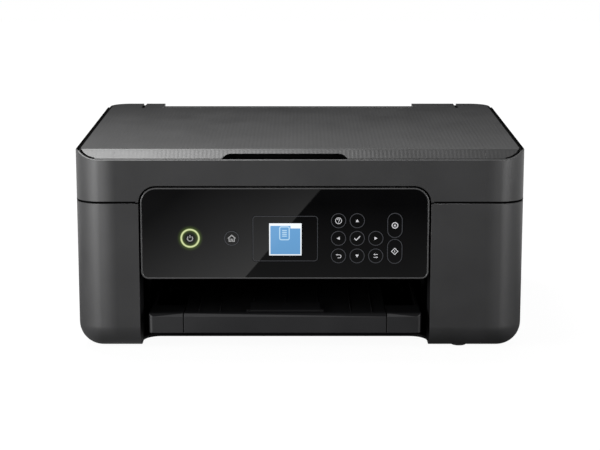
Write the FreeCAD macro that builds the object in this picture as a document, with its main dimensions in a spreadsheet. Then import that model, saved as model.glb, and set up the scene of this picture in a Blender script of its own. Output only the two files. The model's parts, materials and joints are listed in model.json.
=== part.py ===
import FreeCAD, Part
import math
import os
import re
from Sketcher import Constraint

# Inkjet printer with a flatbed scanner: millimetres, x to the right, y to the back, z up.
# The origin is on the table, under the middle of the case.

doc = FreeCAD.newDocument("inkjet_printer")
sheet = doc.addObject("Spreadsheet::Sheet", "Sheet")

SIZES = {
    # Case
    "case_width": 375, "case_depth": 300, "case_height": 170, "corner_round": 21, "wall": 2.5,
    "bottom_round": 20, "foot_height": 1.2, "foot_radius": 6.2, "foot_inset": 23, "foot_side": 29.5,
    "foot_bay": 26.4, "foot_setback": 6, "unit_height": 43.5, "split_gap": 1.2, "run_gap": 0.3, "fit_gap": 0.05,
    "bay_centre": -12.6, "notch_depth": 43, "notch_round": 15, "beam_setback": 22, "beam_thick": 4,
    "beam_height": 34,
    # Control panel
    "pillar_width": 134, "panel_height": 78.25, "panel_gap": 1.2, "panel_recess": 0.6,
    "panel_depth": 13.4, "panel_wall": 1.8, "panel_top_round": 13.4, "panel_bottom_round": 6.5,
    "fascia_thick": 1.6, "fascia_edge": 1.2, "panel_pin_back": 2.8, "panel_pin_down": 3.25,
    "panel_pin_radius": 1, "panel_pin_reach": 4.8, "panel_arm_inset": 26, "panel_arm_width": 4,
    "panel_arm_height": 2.4, "button_space": 2.95, "button_proud": 0.4, "button_gap": 0.25,
    "button_thick": 2.4, "button_travel": 0.5, "stem_radius": 2.5, "oval_extra": 0.1, "oval_height": 21.2,
    "ring_width": 1.9, "switch_depth": 3.5, "switch_width": 6, "board_thick": 1.6, "board_inset": 8,
    "button_drop": 43.05, "pitch_share": 0.06452, "button_rise": 14.95, "button_share": 0.2498,
    "oval_share": 0.3801, "oval_drop": 32.05, "oval_pitch": 22.1, "home_share": 0.1838,
    "power_share": 0.3278, "lcd_share": 0.2274, "lcd_height": 39, "lcd_round": 3, "lcd_offset": 0.3,
    "lcd_drop": 43.45,
    # Scanner unit and document cover
    "band_rise": 13.95, "band_round": 14.6, "rim_thick": 1.3, "rim_drop": 1, "rim_front_drop": 7.5, "deck_drop": 10,
    "deck_thick": 2.5, "glass_thick": 3, "window_inset": 75, "window_margin": 82, "glass_lap": 5,
    "pan_thick": 2, "cover_gap": 1.3, "cover_bevel": 14, "cover_drop": 8.1, "cover_skin": 2.4,
    "cover_thick": 7.8, "lift_width": 109.3, "lift_depth": 12, "lift_height": 4.5, "lift_round": 10,
    "slot_inset": 35, "slot_width": 2.6, "slot_depth": 33, "strip_drop": 2.6, "strip_left_inset": 54.7,
    "strip_right_inset": 77.5, "hinge_inset": 45, "hinge_width": 10, "hinge_back": 4.2, "hinge_rise": 8.9,
    "hinge_pin_drop": 4.4, "hinge_pin_radius": 1.2, "hinge_knuckle": 2.2, "unit_pin_inset": 6.5,
    "unit_pin_radius": 2, "unit_lug_radius": 3.5, "unit_lug_width": 6, "unit_lug_inset": 37.5,
    "stay_reach": 36.5, "stay_width": 8, "stay_thick": 3, "stay_angle": 42, "bar_width": 18,
    "bar_height": 12, "bar_gap": 0.5, "bar_inset": 10, "bar_rod_radius": 3, "bar_rod_rise": 9.4,
    # Paper cassette and output tray
    "cassette_inset": 11.4, "cassette_low": 13, "cassette_front_low": 15.4, "cassette_high": 31.7,
    "cassette_margin": 38, "cassette_floor": 2, "cassette_wall": 2.2, "cassette_side_high": 27,
    "front_block_depth": 40, "front_block_round": 4, "front_thick": 7.5, "tray_inset": 59.4,
    "tray_gap": 0.8, "tray_thick": 2.5, "tray_length": 128, "tray_bevel": 2.2, "stop_width": 60,
    "stop_length": 28, "stop_thick": 1.6, "stop_knuckle": 1.4, "stop_pin_radius": 0.7, "guide_inset": 9.5,
    "guide_length": 70, "guide_height": 9, "guide_thick": 2, "guide_centre": 20, "rack_thick": 2,
    "rack_depth": 5, "rack_teeth": 7, "pinion_teeth": 16, "end_guide_width": 60,
    "end_guide_setback": 67.4,
    # Gear teeth: depths in modules, the angle of pressure in degrees
    "gear_module": 1, "tooth_tip": 0.8, "tooth_root": 1.2, "tooth_angle": 20, "flank_steps": 3,
    # Paper feed
    "feed_inset": 104, "roller_height": 51, "roller_radius": 6, "shaft_radius": 3, "gear_teeth": 24,
    "idler_teeth": 20, "motor_teeth": 12, "gear_width": 6, "gear_offset": 20.8, "gear_backlash": 0.12,
    "pinch_radius": 4, "pinch_shaft_radius": 1.5, "pinch_length": 14, "side_plate_thick": 3,
    "side_plate_gap": 8.8, "side_plate_rise": 3.7, "feed_motor_radius": 12, "feed_motor_length": 12,
    "side_plate_reach": 16, "pinch_count": 6, "rib_count": 13, "platen_side_gap": 0.6,
    "pickup_offset": 54, "pickup_radius": 9, "pickup_width": 24, "pickup_arm_length": 28,
    "pickup_arm_height": 24.5, "pickup_arm_thick": 4,
    # Print engine
    "plate_low": 40, "plate_thick": 3, "plate_reach": 17, "plate_margin": 25, "end_plate_inset": 11.5,
    "end_plate_thick": 3, "end_plate_rise": 6, "end_plate_reach": 30, "carriage_width": 80,
    "carriage_clear": 0.7, "carriage_room": 15.1, "carriage_setback": 4, "carriage_inset": 53,
    "carriage_wall": 2, "nose_width": 40, "nose_gap": 1.5, "rod_offset": 7, "rod_rise": 10,
    "rod_radius": 4, "ink_width": 18, "ink_depth": 36, "ink_proud": 3, "rail_offset": 24, "rail_lip": 7,
    "rail_thick": 2, "rail_drop": 8, "belt_offset": 16, "belt_drop": 7, "belt_height": 6,
    "belt_thick": 1.2, "pulley_radius": 6, "drive_inset": 62.5, "idler_inset": 20.5, "clamp_offset": 8,
    "carriage_motor_radius": 12, "carriage_motor_length": 30, "axle_radius": 2, "cap_width": 36,
    "cap_depth": 26, "cap_rise": 5,
    # Back of the case
    "rear_cover_inset": 220, "rear_cover_low": 22, "rear_cover_drop": 25.9, "rear_guide_depth": 20,
    "supply_width": 56, "supply_depth": 40, "supply_height": 32, "inlet_width": 28, "inlet_height": 16,
    "socket_width": 18, "socket_height": 10, "socket_depth": 14, "usb_width": 12, "usb_height": 11,
    "usb_depth": 9, "usb_inset": 43.5, "board_width": 64, "board_height": 46, "boss_radius": 2.5,
}

PLACES = {
    "left": "-case_width / 2", "right": "case_width / 2",
    "front": "-case_depth / 2", "back": "case_depth / 2",
    "base_high": "split_height - split_gap / 2", "unit_low": "split_height + split_gap / 2",
    "floor_high": "foot_height + wall",
    "bay_left": "bay_centre - panel_width / 2 - panel_gap",
    "bay_right": "bay_centre + panel_width / 2 + panel_gap",
    "panel_left": "bay_centre - panel_width / 2", "panel_right": "bay_centre + panel_width / 2",
    "panel_front": "front + panel_recess", "panel_back": "panel_front + panel_depth",
    "fascia_back": "panel_front + fascia_thick",
    "panel_pin_y": "panel_front + panel_pin_back", "panel_pin_z": "panel_high - panel_pin_down",
    "beam_front": "front + beam_setback", "beam_back": "beam_front + beam_thick",
    "beam_high": "panel_pin_z + panel_arm_height / 2",
    "switch_front": "board_front - switch_depth", "board_front": "panel_back - panel_wall - board_inset / 2",
    "cap_front": "panel_front - button_proud", "stem_back": "switch_front - button_travel - fit_gap",
    "deck_low": "deck_height - deck_thick", "glass_low": "deck_low - glass_thick",
    "cover_side": "rim_thick + cover_gap", "step_back": "front + notch_depth",
    "hinge_pin_y": "back - hinge_back", "unit_pin_y": "back - unit_pin_inset",
    "cassette_left": "bay_centre - cassette_width / 2", "cassette_right": "bay_centre + cassette_width / 2",
    "cassette_front": "front + panel_recess", "cassette_back": "cassette_front + cassette_length",
    "cassette_top": "cassette_low + cassette_floor", "tray_left": "bay_centre - tray_width / 2",
    "tray_right": "bay_centre + tray_width / 2", "tray_top": "cassette_high - tray_bevel",
    "tray_low": "tray_top - tray_thick", "plate_high": "plate_low + plate_thick",
    "side_left": "cassette_left - side_plate_gap", "side_right": "cassette_right + side_plate_gap",
    "paper_height": "roller_height + roller_radius",
    "pinch_height": "paper_height + pinch_radius + run_gap", "nose_low": "paper_height + nose_gap",
    "side_plate_high": "pinch_height + side_plate_rise",
    "carriage_low": "pinch_height + pinch_radius + carriage_clear", "rod_height": "carriage_low + rod_rise",
    "belt_high": "belt_low + belt_height", "motor_low": "belt_low - 2 * axle_radius - carriage_motor_length",
    "supply_right": "right - 2 * wall - bottom_round", "inlet_x": "supply_right - supply_width / 2",
    "supply_back": "back - bottom_round", "inlet_low": "foot_height + bottom_round + wall",
    "usb_low": "foot_height + bottom_round + wall", "board_low": "usb_low - 2 * wall",
    "board_high": "board_low + board_height", "board_back": "back - wall - usb_depth + board_thick",
    "pickup_half": "pickup_width / 2 + pickup_arm_thick + wall",
    "rail_front": "rail_y - rail_lip", "platen_y": "(feed_y + exit_y) / 2",
    "idler_y": "(feed_y + exit_y) / 2",
    "gear_left": "gear_place - gear_width / 2", "board_back_face": "board_front + board_thick",
    "stop_y": "cassette_front + front_thick + 2 * wall", "stop_z": "tray_top + run_gap + stop_knuckle",
    "rack_low": "cassette_top + run_gap", "rack_high": "rack_low + rack_thick",
    "guide_low": "rack_high + run_gap", "guide_high": "rack_low + guide_height",
    "pan_high": "unit_low + pan_thick", "recess_back": "beam_back + 2 * split_gap",
    "bar_high": "glass_low - bar_gap", "bar_low": "bar_high - bar_height",
    "stay_x": "right - 2 * wall - stay_thick", "rod_end": "window_width / 2 + 6 * wall",
    "cap_low": "plate_high + cap_rise",
    "motor_z": "roller_height - gear_module * (gear_teeth + motor_teeth) / 2",
    "motor_face": "side_left - side_plate_thick - feed_motor_length",
    "clamp_x": "carriage_park + clamp_offset", "motor_high": "motor_low + carriage_motor_length",
    "belt_run": "belt_y - pulley_radius", "ink_pitch": "ink_width + 2 * run_gap",
    "ink_low": "carriage_low + 2 * carriage_wall", "ink_front": "carriage_front + carriage_wall + run_gap",
    "split_height": "case_height - unit_height", "rim_height": "case_height - rim_drop",
    "deck_height": "case_height - deck_drop", "cover_low": "case_height - cover_thick",
    "hinge_pin_height": "case_height - hinge_pin_drop", "hinge_low": "unit_low + hinge_rise",
    "band_low": "unit_low + band_rise", "bar_rod_height": "unit_low + bar_rod_rise",
    "panel_high": "band_low - panel_gap", "panel_low": "panel_high - panel_height",
    "button_row": "panel_high - button_drop", "lcd_centre": "panel_high - lcd_drop",
    "oval_high": "panel_high - oval_drop", "oval_low": "oval_high - oval_pitch",
    "carriage_high": "unit_low - carriage_room", "rail_high": "carriage_high - rail_drop",
    "belt_low": "carriage_high - belt_drop", "end_plate_high": "carriage_high + end_plate_rise",
    "stay_radius": "split_height + stay_reach", "rear_cover_high": "base_high - rear_cover_drop",
    "panel_width": "case_width - pillar_width", "cassette_width": "panel_width - cassette_inset",
    "tray_width": "cassette_width - tray_inset", "guide_spread": "cassette_width / 2 - guide_inset",
    "rear_cover_width": "case_width - rear_cover_inset", "window_width": "case_width - window_inset",
    "bar_start": "window_width / 2 - bar_inset", "slot_place": "right - slot_inset",
    "hinge_place": "right - hinge_inset", "unit_lug_place": "right - unit_lug_inset",
    "strip_left": "left + strip_left_inset", "strip_right": "right - strip_right_inset",
    "foot_left": "left + foot_side", "foot_right": "bay_right + foot_bay",
    "carriage_park": "right - carriage_inset", "end_plate_place": "right - end_plate_inset",
    "idler_pulley_x": "right - idler_inset", "drive_pulley_x": "left + drive_inset",
    "gear_place": "side_left - gear_offset", "usb_place": "left + usb_inset",
    "power_column": "bay_centre - power_share * panel_width",
    "home_column": "bay_centre - home_share * panel_width",
    "button_column": "bay_centre + button_share * panel_width",
    "oval_column": "bay_centre + oval_share * panel_width", "lcd_column": "bay_centre + lcd_offset",
    "lcd_width": "lcd_share * panel_width", "button_pitch": "pitch_share * panel_width",
    "button_radius": "(button_pitch - button_space) / 2", "oval_width": "2 * button_radius + oval_extra",
    "ring_radius": "button_radius + ring_width", "window_depth": "case_depth - window_margin",
    "cassette_length": "case_depth - cassette_margin", "feed_y": "back - feed_inset",
    "exit_y": "feed_y - gear_module * (gear_teeth + idler_teeth)", "rod_y": "feed_y + rod_offset",
    "rail_y": "feed_y + rail_offset", "belt_y": "rail_y + belt_offset",
    "carriage_front": "exit_y + carriage_setback", "carriage_back": "rod_y + rod_offset",
    "plate_front": "exit_y - plate_reach", "plate_back": "back - plate_margin",
    "pickup_y": "feed_y + pickup_offset", "pickup_arm_y": "pickup_y - pickup_arm_length",
    "end_guide_place": "cassette_front + end_guide_setback",
}


def fill_sheet():
    """Each size is a plain number, and each place is a formula of sizes."""
    for row, (alias, value) in enumerate(SIZES.items(), 1):
        sheet.set(f"A{row}", alias)
        sheet.set(f"B{row}", str(value))
        sheet.setAlias(f"B{row}", alias)
    for row, (alias, formula) in enumerate(PLACES.items(), 1):
        sheet.set(f"D{row}", alias)
        sheet.set(f"E{row}", f"={formula}")
        sheet.setAlias(f"E{row}", alias)
    doc.recompute()


def linked(formula):
    """The formula with each alias pointed at the sheet."""
    names = SIZES.keys() | PLACES.keys()
    return re.sub(r"[a-z_]+[a-z0-9_]*", lambda word: f"Sheet.{word[0]}" if word[0] in names else word[0],
                  str(formula))


def bind(thing, prop, formula):
    thing.setExpression(prop, linked(formula))


def size(alias):
    return float(sheet.get(alias))


fill_sheet()

nodes = {}
TURNS = {
    "x": FreeCAD.Rotation(FreeCAD.Vector(0, 1, 0), 90),
    "y": FreeCAD.Rotation(FreeCAD.Vector(1, 0, 0), -90),
    "z": FreeCAD.Rotation(),
}
ALONG = {"x": FreeCAD.Rotation(FreeCAD.Vector(1, 1, 1), 120), "z": FreeCAD.Rotation()}
UP = FreeCAD.Vector(0, 0, 1)
FORWARD = FreeCAD.Vector(0, -1, 0)
FULL_TURN = 360


def block(x, y, z):
    """A box between two limits along each axis."""
    thing = doc.addObject("Part::Box", "block")
    for prop, axis, (low, high) in zip(("Length", "Width", "Height"), "xyz", (x, y, z)):
        bind(thing, prop, f"({high}) - ({low})")
        bind(thing, f"Placement.Base.{axis}", low)
    return thing


def rod(axis, span, centre, radius):
    """A cylinder along one axis, with its centre line's other two coordinates in x, y, z order."""
    thing = doc.addObject("Part::Cylinder", "rod")
    thing.Placement = FreeCAD.Placement(FreeCAD.Vector(), TURNS[axis])
    place = dict(zip([other for other in "xyz" if other != axis], centre))
    place[axis] = span[0]
    bind(thing, "Radius", radius)
    bind(thing, "Height", f"({span[1]}) - ({span[0]})")
    for name in "xyz":
        bind(thing, f"Placement.Base.{name}", place[name])
    return thing


def fuse(*things):
    joined = doc.addObject("Part::MultiFuse", "joined")
    joined.Shapes = list(things)
    joined.Refine = True
    return joined


def cut(base, *tools):
    result = doc.addObject("Part::Cut", "cut")
    result.Base = base
    result.Tool = fuse(*tools) if len(tools) > 1 else tools[0]
    result.Refine = True
    return result


def group(*things):
    """Separate solids that share one node."""
    result = doc.addObject("Part::Compound", "group")
    result.Links = list(things)
    return result


def node(name, thing):
    thing.Label = name
    nodes[name] = thing
    return thing


def sketch_on(body, role, at):
    """An empty sketch on one of the body's origin planes, moved to a place given in x, y, z."""
    sketch = body.newObject("Sketcher::SketchObject", "outline")
    plane = next(item for item in body.Origin.OriginFeatures if item.Role == role)
    sketch.AttachmentSupport = [(plane, "")]
    sketch.MapMode = "FlatFace"
    x, y, z = at
    local = {"XY_Plane": (x, y, z), "XZ_Plane": (x, z, f"-({y})"), "YZ_Plane": (y, z, x)}[role]
    for axis, formula in zip("xyz", local):
        bind(sketch, f"AttachmentOffset.Base.{axis}", formula)
    return sketch


def rectangle(body, role, at, wide, tall):
    """A rectangle with its lower corner at a place."""
    sketch = sketch_on(body, role, at)
    corners = [FreeCAD.Vector(*point) for point in ((0, 0), (9, 0), (9, 9), (0, 9))]
    for start, end in zip(corners, corners[1:] + corners[:1]):
        sketch.addGeometry(Part.LineSegment(start, end))
    for line in range(4):
        sketch.addConstraint(Constraint("Coincident", line, 2, (line + 1) % 4, 1))
        sketch.addConstraint(Constraint("Vertical" if line % 2 else "Horizontal", line))
    sketch.addConstraint(Constraint("Coincident", 0, 1, -1, 1))
    for name, kind, line, formula in (("wide", "DistanceX", 0, wide), ("tall", "DistanceY", 1, tall)):
        number = sketch.addConstraint(Constraint(kind, line, 1, line, 2, 9))
        sketch.renameConstraint(number, name)
        bind(sketch, f"Constraints.{name}", formula)
    return sketch


def pad(body, sketch, length, flip=False):
    feature = body.newObject("PartDesign::Pad", "pad")
    feature.Profile = sketch
    feature.Reversed = flip
    bind(feature, "Length", length)
    doc.recompute()
    return feature


def dress(body, kind, edges, prop, formula):
    """A fillet or chamfer on the body's picked edges."""
    tip = body.Tip
    names = [f"Edge{number}" for number, edge in enumerate(tip.Shape.Edges, 1) if edges(edge)]
    feature = body.newObject(f"PartDesign::{kind}", kind.lower())
    feature.Base = (tip, names)
    bind(feature, prop, formula)
    doc.recompute()
    return feature


def hollow(body, direction, thick):
    """The body as a shell, open at its face furthest in one direction."""
    tip = body.Tip
    faces = tip.Shape.Faces
    open_face = max(range(len(faces)), key=lambda number: direction * faces[number].CenterOfMass)
    feature = body.newObject("PartDesign::Thickness", "shell")
    feature.Base = (tip, [f"Face{open_face + 1}"])
    feature.Reversed = True
    bind(feature, "Value", thick)
    doc.recompute()
    return feature


def upright(edge):
    """True for a straight edge along z."""
    return abs(edge.BoundBox.XLength) + abs(edge.BoundBox.YLength) < 1e-4


def lengthwise(edge):
    """True for a straight edge along y."""
    return abs(edge.BoundBox.XLength) + abs(edge.BoundBox.ZLength) < 1e-4


def level_at(height):
    """A test for edges that lie flat at one height."""
    return lambda edge: abs(edge.BoundBox.ZMin - height) + abs(edge.BoundBox.ZMax - height) < 1e-3


def rounded_block(name, x, y, z, radius):
    """A body with its upright edges rounded."""
    body = doc.addObject("PartDesign::Body", name)
    outline = rectangle(body, "XY_Plane", (x[0], y[0], z[0]), f"({x[1]}) - ({x[0]})", f"({y[1]}) - ({y[0]})")
    pad(body, outline, f"({z[1]}) - ({z[0]})")
    dress(body, "Fillet", upright, "Radius", radius)
    return body


def rounded_plate(name, x, y, z, radius):
    """A body with the edges along y rounded, as a plate that faces the front."""
    body = doc.addObject("PartDesign::Body", name)
    outline = rectangle(body, "XZ_Plane", (x[0], y[1], z[0]), f"({x[1]}) - ({x[0]})", f"({z[1]}) - ({z[0]})")
    pad(body, outline, f"({y[1]}) - ({y[0]})")
    dress(body, "Fillet", lengthwise, "Radius", radius)
    return body


def mirrored(sign, low, high, centre="0"):
    """Limits on the right of a centre line, or the same limits mirrored to its left."""
    if sign > 0:
        return f"{centre} + {low}", f"{centre} + {high}"
    return f"{centre} - ({high})", f"{centre} - ({low})"


def base_case():
    hull = rounded_block("case_hull", ("left", "right"), ("front", "back"), ("foot_height", "base_high"),
                         "corner_round")
    dress(hull, "Fillet", level_at(size("foot_height")), "Radius", "bottom_round")
    notch = rectangle(hull, "XY_Plane", ("bay_left", "front - wall", "foot_height - wall"),
                      "bay_right - bay_left", "notch_depth + wall")
    pocket = hull.newObject("PartDesign::Pocket", "bay_notch")
    pocket.Profile = notch
    pocket.Reversed = True
    bind(pocket, "Length", "base_high - foot_height + 2 * wall")
    doc.recompute()
    deep = size("step_back")
    dress(hull, "Fillet", lambda edge: upright(edge) and abs(edge.BoundBox.YMin - deep) < 1e-3,
          "Radius", "notch_round")
    hollow(hull, UP, "wall")

    runners = [block((f"{x} - wall", f"{x} + wall"), ("step_back + wall", "back - 2 * notch_depth"),
                     ("foot_height", "cassette_low - run_gap"))
               for x in ("cassette_left + 4 * wall", "cassette_right - 4 * wall")]
    beam_low = "base_high - beam_height + beam_thick"
    beam_y = ("beam_front", "beam_back")
    beam = [block(("bay_left - wall", "bay_right + wall"), beam_y, (beam_low, "base_high")),
            block(("bay_left", "bay_right"), beam_y, (beam_low, "beam_high"))]
    arms = []
    for x in ("panel_left + panel_arm_inset", "panel_right - panel_arm_inset"):
        arms.append(block((f"{x} - panel_arm_width / 2", f"{x} + panel_arm_width / 2"),
                          ("panel_pin_y", "beam_back"),
                          ("panel_pin_z - panel_arm_height / 2", "panel_pin_z + panel_arm_height / 2")))
        arms.append(rod("x", (f"{x} - panel_pin_reach", f"{x} + panel_pin_reach"),
                        ("panel_pin_y", "panel_pin_z"), "panel_pin_radius"))
    ears = []
    for sign in (-1, 1):
        span = mirrored(sign, "unit_lug_place + unit_lug_width / 2 + run_gap",
                        "unit_lug_place + 1.5 * unit_lug_width + run_gap")
        depth = ("unit_pin_y - unit_lug_radius", "unit_pin_y + unit_lug_radius")
        ears.append(block(span, (depth[0], "back - wall / 2"), ("base_high - beam_height / 2", "base_high")))
        ears.append(block(span, depth, ("base_high - wall", "split_height")))
        ears.append(rod("x", span, ("unit_pin_y", "split_height"), "unit_lug_radius"))
        ears.append(rod("x", mirrored(sign, "unit_lug_place - unit_lug_width / 2",
                                      "unit_lug_place + unit_lug_width"),
                        ("unit_pin_y", "split_height"), "unit_pin_radius"))
    board_bosses = [rod("y", ("board_back", "back - wall / 2"), (f"usb_place + {side} * board_width / 3", z),
                        "boss_radius")
                    for side in (-1, 1) for z in ("board_low + 2 * boss_radius", "board_high - 2 * boss_radius")]
    through = ("back - 2 * wall", "back + wall")
    openings = [
        block(("bay_left", "bay_right"), ("step_back - notch_round", "step_back + 2 * wall"),
              ("floor_high", "base_high + wall")),
        block(("bay_centre - rear_cover_width / 2", "bay_centre + rear_cover_width / 2"), through,
              ("rear_cover_low", "rear_cover_high")),
        block(("inlet_x - inlet_width / 2", "inlet_x + inlet_width / 2"), through,
              ("inlet_low", "inlet_low + inlet_height")),
        block(("usb_place - usb_width / 2", "usb_place + usb_width / 2"), through,
              ("usb_low", "usb_low + usb_height")),
    ]
    shell = cut(hull, *openings)
    node("base_case", fuse(shell, *runners, *beam, *arms, *ears, *board_bosses))


def rubber_feet():
    places = [("foot_left", "front + foot_inset + foot_setback"), ("foot_right", "front + foot_inset"),
              ("foot_left", "back - foot_inset"), ("-foot_left", "back - foot_inset")]
    node("rubber_feet", group(*[rod("z", (0, "foot_height"), place, "foot_radius") for place in places]))


def chassis_frame():
    across = ("-end_plate_place - end_plate_thick", "end_plate_place + end_plate_thick")
    plate = cut(
        block(across, ("plate_front", "plate_back"), ("plate_low", "plate_high")),
        block(("-end_plate_place", "side_left - side_plate_thick"),
              ("plate_front - wall", "rail_y + side_plate_reach"), ("plate_low - wall", "plate_high + wall")),
        block(("bay_centre - pickup_half - wall", "bay_centre + pickup_half + wall"),
              ("pickup_arm_y - pickup_radius", "pickup_y + 1.6 * pickup_radius"),
              ("plate_low - wall", "plate_high + wall")))
    pieces = [plate]
    for low in ("side_left - side_plate_thick", "side_right"):
        pieces.append(block((low, f"{low} + side_plate_thick"), ("plate_front", "rail_y + side_plate_reach"),
                            ("floor_high", "side_plate_high")))
    for sign in (-1, 1):
        pieces.append(block(mirrored(sign, "end_plate_place", "end_plate_place + end_plate_thick"),
                            ("rod_y - end_plate_reach", "rail_y + end_plate_reach"),
                            ("plate_low", "end_plate_high")))
        pieces.append(block(mirrored(sign, "pickup_half", "pickup_half + 2 * wall", "bay_centre"),
                            ("pickup_arm_y - 2 * axle_radius", "pickup_arm_y + 2 * axle_radius"),
                            ("pickup_arm_height - 2 * axle_radius", "plate_high")))
        pieces.append(rod("z", ("plate_high", "cap_low + wall"),
                          (f"carriage_park + {sign} * cap_width / 3", "platen_y"), "axle_radius"))
    pieces.append(rod("x", ("bay_centre - pickup_half - wall", "bay_centre + pickup_half + wall"),
                      ("pickup_arm_y", "pickup_arm_height"), "axle_radius"))
    pieces.append(block(("-end_plate_place", "end_plate_place"), ("rail_y", "rail_y + rail_thick"),
                        ("plate_high", "rail_high")))
    pieces.append(block(("-end_plate_place", "end_plate_place"), ("rail_front", "rail_y + rail_thick"),
                        ("rail_high - rail_thick", "rail_high")))
    pieces.append(block(("drive_pulley_x - carriage_motor_radius", "drive_pulley_x + carriage_motor_radius"),
                        ("belt_y - carriage_motor_radius", "belt_y + carriage_motor_radius"),
                        ("plate_high", "motor_low")))
    idler_at = ("idler_pulley_x", "belt_y")
    pieces.append(rod("z", ("plate_high", "belt_high"), idler_at, "axle_radius"))
    pieces.append(rod("z", ("plate_high", "belt_low - run_gap"), idler_at, "2 * axle_radius"))
    pieces.append(rod("x", ("gear_place - gear_width / 2", "side_left - side_plate_thick"),
                      ("idler_y", "roller_height"), "axle_radius"))
    whole = fuse(*pieces)
    bores = [rod("x", across, ("rod_y", "rod_height"), "rod_radius + fit_gap")]
    sides = ("side_left - 2 * side_plate_thick", "side_right + 2 * side_plate_thick")
    between = ("side_left", "side_right")
    for y in ("feed_y", "exit_y"):
        bores.append(rod("x", sides, (y, "roller_height"), "shaft_radius + fit_gap"))
        bores.append(rod("x", between, (y, "roller_height"), "roller_radius + run_gap"))
    bores.append(rod("x", sides, ("feed_y", "pinch_height"), "pinch_shaft_radius + fit_gap"))
    nose_way = block(across, ("platen_y - cap_depth / 2", "platen_y + cap_depth / 2"),
                     ("paper_height - wall", "side_plate_high + wall"))
    node("chassis_frame", cut(whole, *bores, nose_way))


def meshed(phase, teeth, other_teeth, direction):
    """The phase of a gear whose tooth gaps take the first gear's teeth, in degrees."""
    first_pitch = FULL_TURN / teeth
    pitch = FULL_TURN / other_teeth
    return direction + FULL_TURN / 2 - pitch * (0.5 - (direction - phase) / first_pitch)


def gear(teeth, phase, axis, place, width):
    """A spur gear along x or z from a place: involute flanks of a few flat faces, with backlash."""
    module = size("gear_module")
    pitch_radius = module * teeth / 2
    base_radius = pitch_radius * math.cos(math.radians(size("tooth_angle")))
    root_radius = pitch_radius - size("tooth_root") * module
    tip_radius = pitch_radius + size("tooth_tip") * module
    half_tooth = math.pi / 2 / teeth - size("gear_backlash") / pitch_radius

    def unwind(radius):
        slope = math.acos(min(1, base_radius / radius))
        return math.tan(slope) - slope

    low = max(base_radius, root_radius)
    steps = int(size("flank_steps"))
    flank = [(root_radius, half_tooth + unwind(pitch_radius))]
    for step in range(steps + 1):
        radius = low + step * (tip_radius - low) / steps
        flank.append((radius, half_tooth + unwind(pitch_radius) - unwind(radius)))
    tooth = [(radius, -angle) for radius, angle in flank]
    tooth += [(radius, angle) for radius, angle in reversed(flank)]
    points = []
    for number in range(teeth):
        turn = math.radians(phase) + 2 * math.pi * number / teeth
        points += [FreeCAD.Vector(radius * math.cos(turn + angle), radius * math.sin(turn + angle))
                   for radius, angle in tooth]
    face = Part.Face(Part.makePolygon(points + points[:1]))
    wheel = doc.addObject("Part::Feature", "gear")
    wheel.Shape = face.extrude(UP * size(width))
    wheel.Placement = FreeCAD.Placement(FreeCAD.Vector(*[size(name) for name in place]), ALONG[axis])
    return wheel


def paper_feed():
    big, middle, small = (int(size(name)) for name in ("gear_teeth", "idler_teeth", "motor_teeth"))
    idler_phase = meshed(0, big, middle, FULL_TURN / 2)
    exit_phase = meshed(idler_phase, middle, big, FULL_TURN / 2)
    paper = ("side_left + wall", "side_right - wall")
    shaft = ("gear_place - gear_width / 2", "side_right + side_plate_thick")
    for name, y, phase in (("feed_roller", "feed_y", 0), ("exit_roller", "exit_y", exit_phase)):
        node(name, fuse(rod("x", paper, (y, "roller_height"), "roller_radius"),
                        rod("x", shaft, (y, "roller_height"), "shaft_radius"),
                        gear(big, phase, "x", ("gear_left", y, "roller_height"), "gear_width")))
    web = ("gear_place - gear_width", "gear_place + gear_width")
    node("idler_gear", cut(
        gear(middle, idler_phase, "x", ("gear_left", "idler_y", "roller_height"), "gear_width"),
        rod("x", web, ("idler_y", "roller_height"), "axle_radius + fit_gap")))
    spin = ("feed_y", "motor_z")
    can = rod("x", ("motor_face", "side_left - side_plate_thick"), spin, "feed_motor_radius")
    node("feed_motor", cut(can, rod("x", ("motor_face - wall", "motor_face + 2 * wall"), spin,
                                    "pinch_shaft_radius + fit_gap")))
    pinion = gear(small, meshed(0, big, small, -90), "x", ("gear_left", "feed_y", "motor_z"), "gear_width")
    node("motor_pinion", fuse(pinion, rod("x", ("gear_place", "motor_face + 1.5 * wall"), spin,
                                          "pinch_shaft_radius")))
    rolls = [rod("x", ("side_left - side_plate_thick", "side_right + side_plate_thick"),
                 ("feed_y", "pinch_height"), "pinch_shaft_radius")]
    count = int(size("pinch_count"))
    for number in range(count):
        middle_x = f"bay_centre + ({number + 0.5} / pinch_count - 0.5) * (side_right - side_left)"
        rolls.append(rod("x", (f"{middle_x} - pinch_length / 2", f"{middle_x} + pinch_length / 2"),
                         ("feed_y", "pinch_height"), "pinch_radius"))
    node("pinch_rollers", fuse(*rolls))

    depth = ("exit_y + roller_radius + platen_side_gap", "feed_y - roller_radius - platen_side_gap")
    width = ("side_left + platen_side_gap", "side_right - platen_side_gap")
    rib_x = [f"bay_centre + ({number + 0.5} / rib_count - 0.5) * (side_right - side_left)"
             for number in range(int(size("rib_count")))]
    ribs = [block((f"{x} - wall / 2", f"{x} + wall / 2"), depth,
                  ("paper_height - wall", "paper_height - platen_side_gap")) for x in rib_x]
    node("platen", fuse(block(width, depth, ("plate_high", "paper_height - wall")), *ribs))


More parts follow.
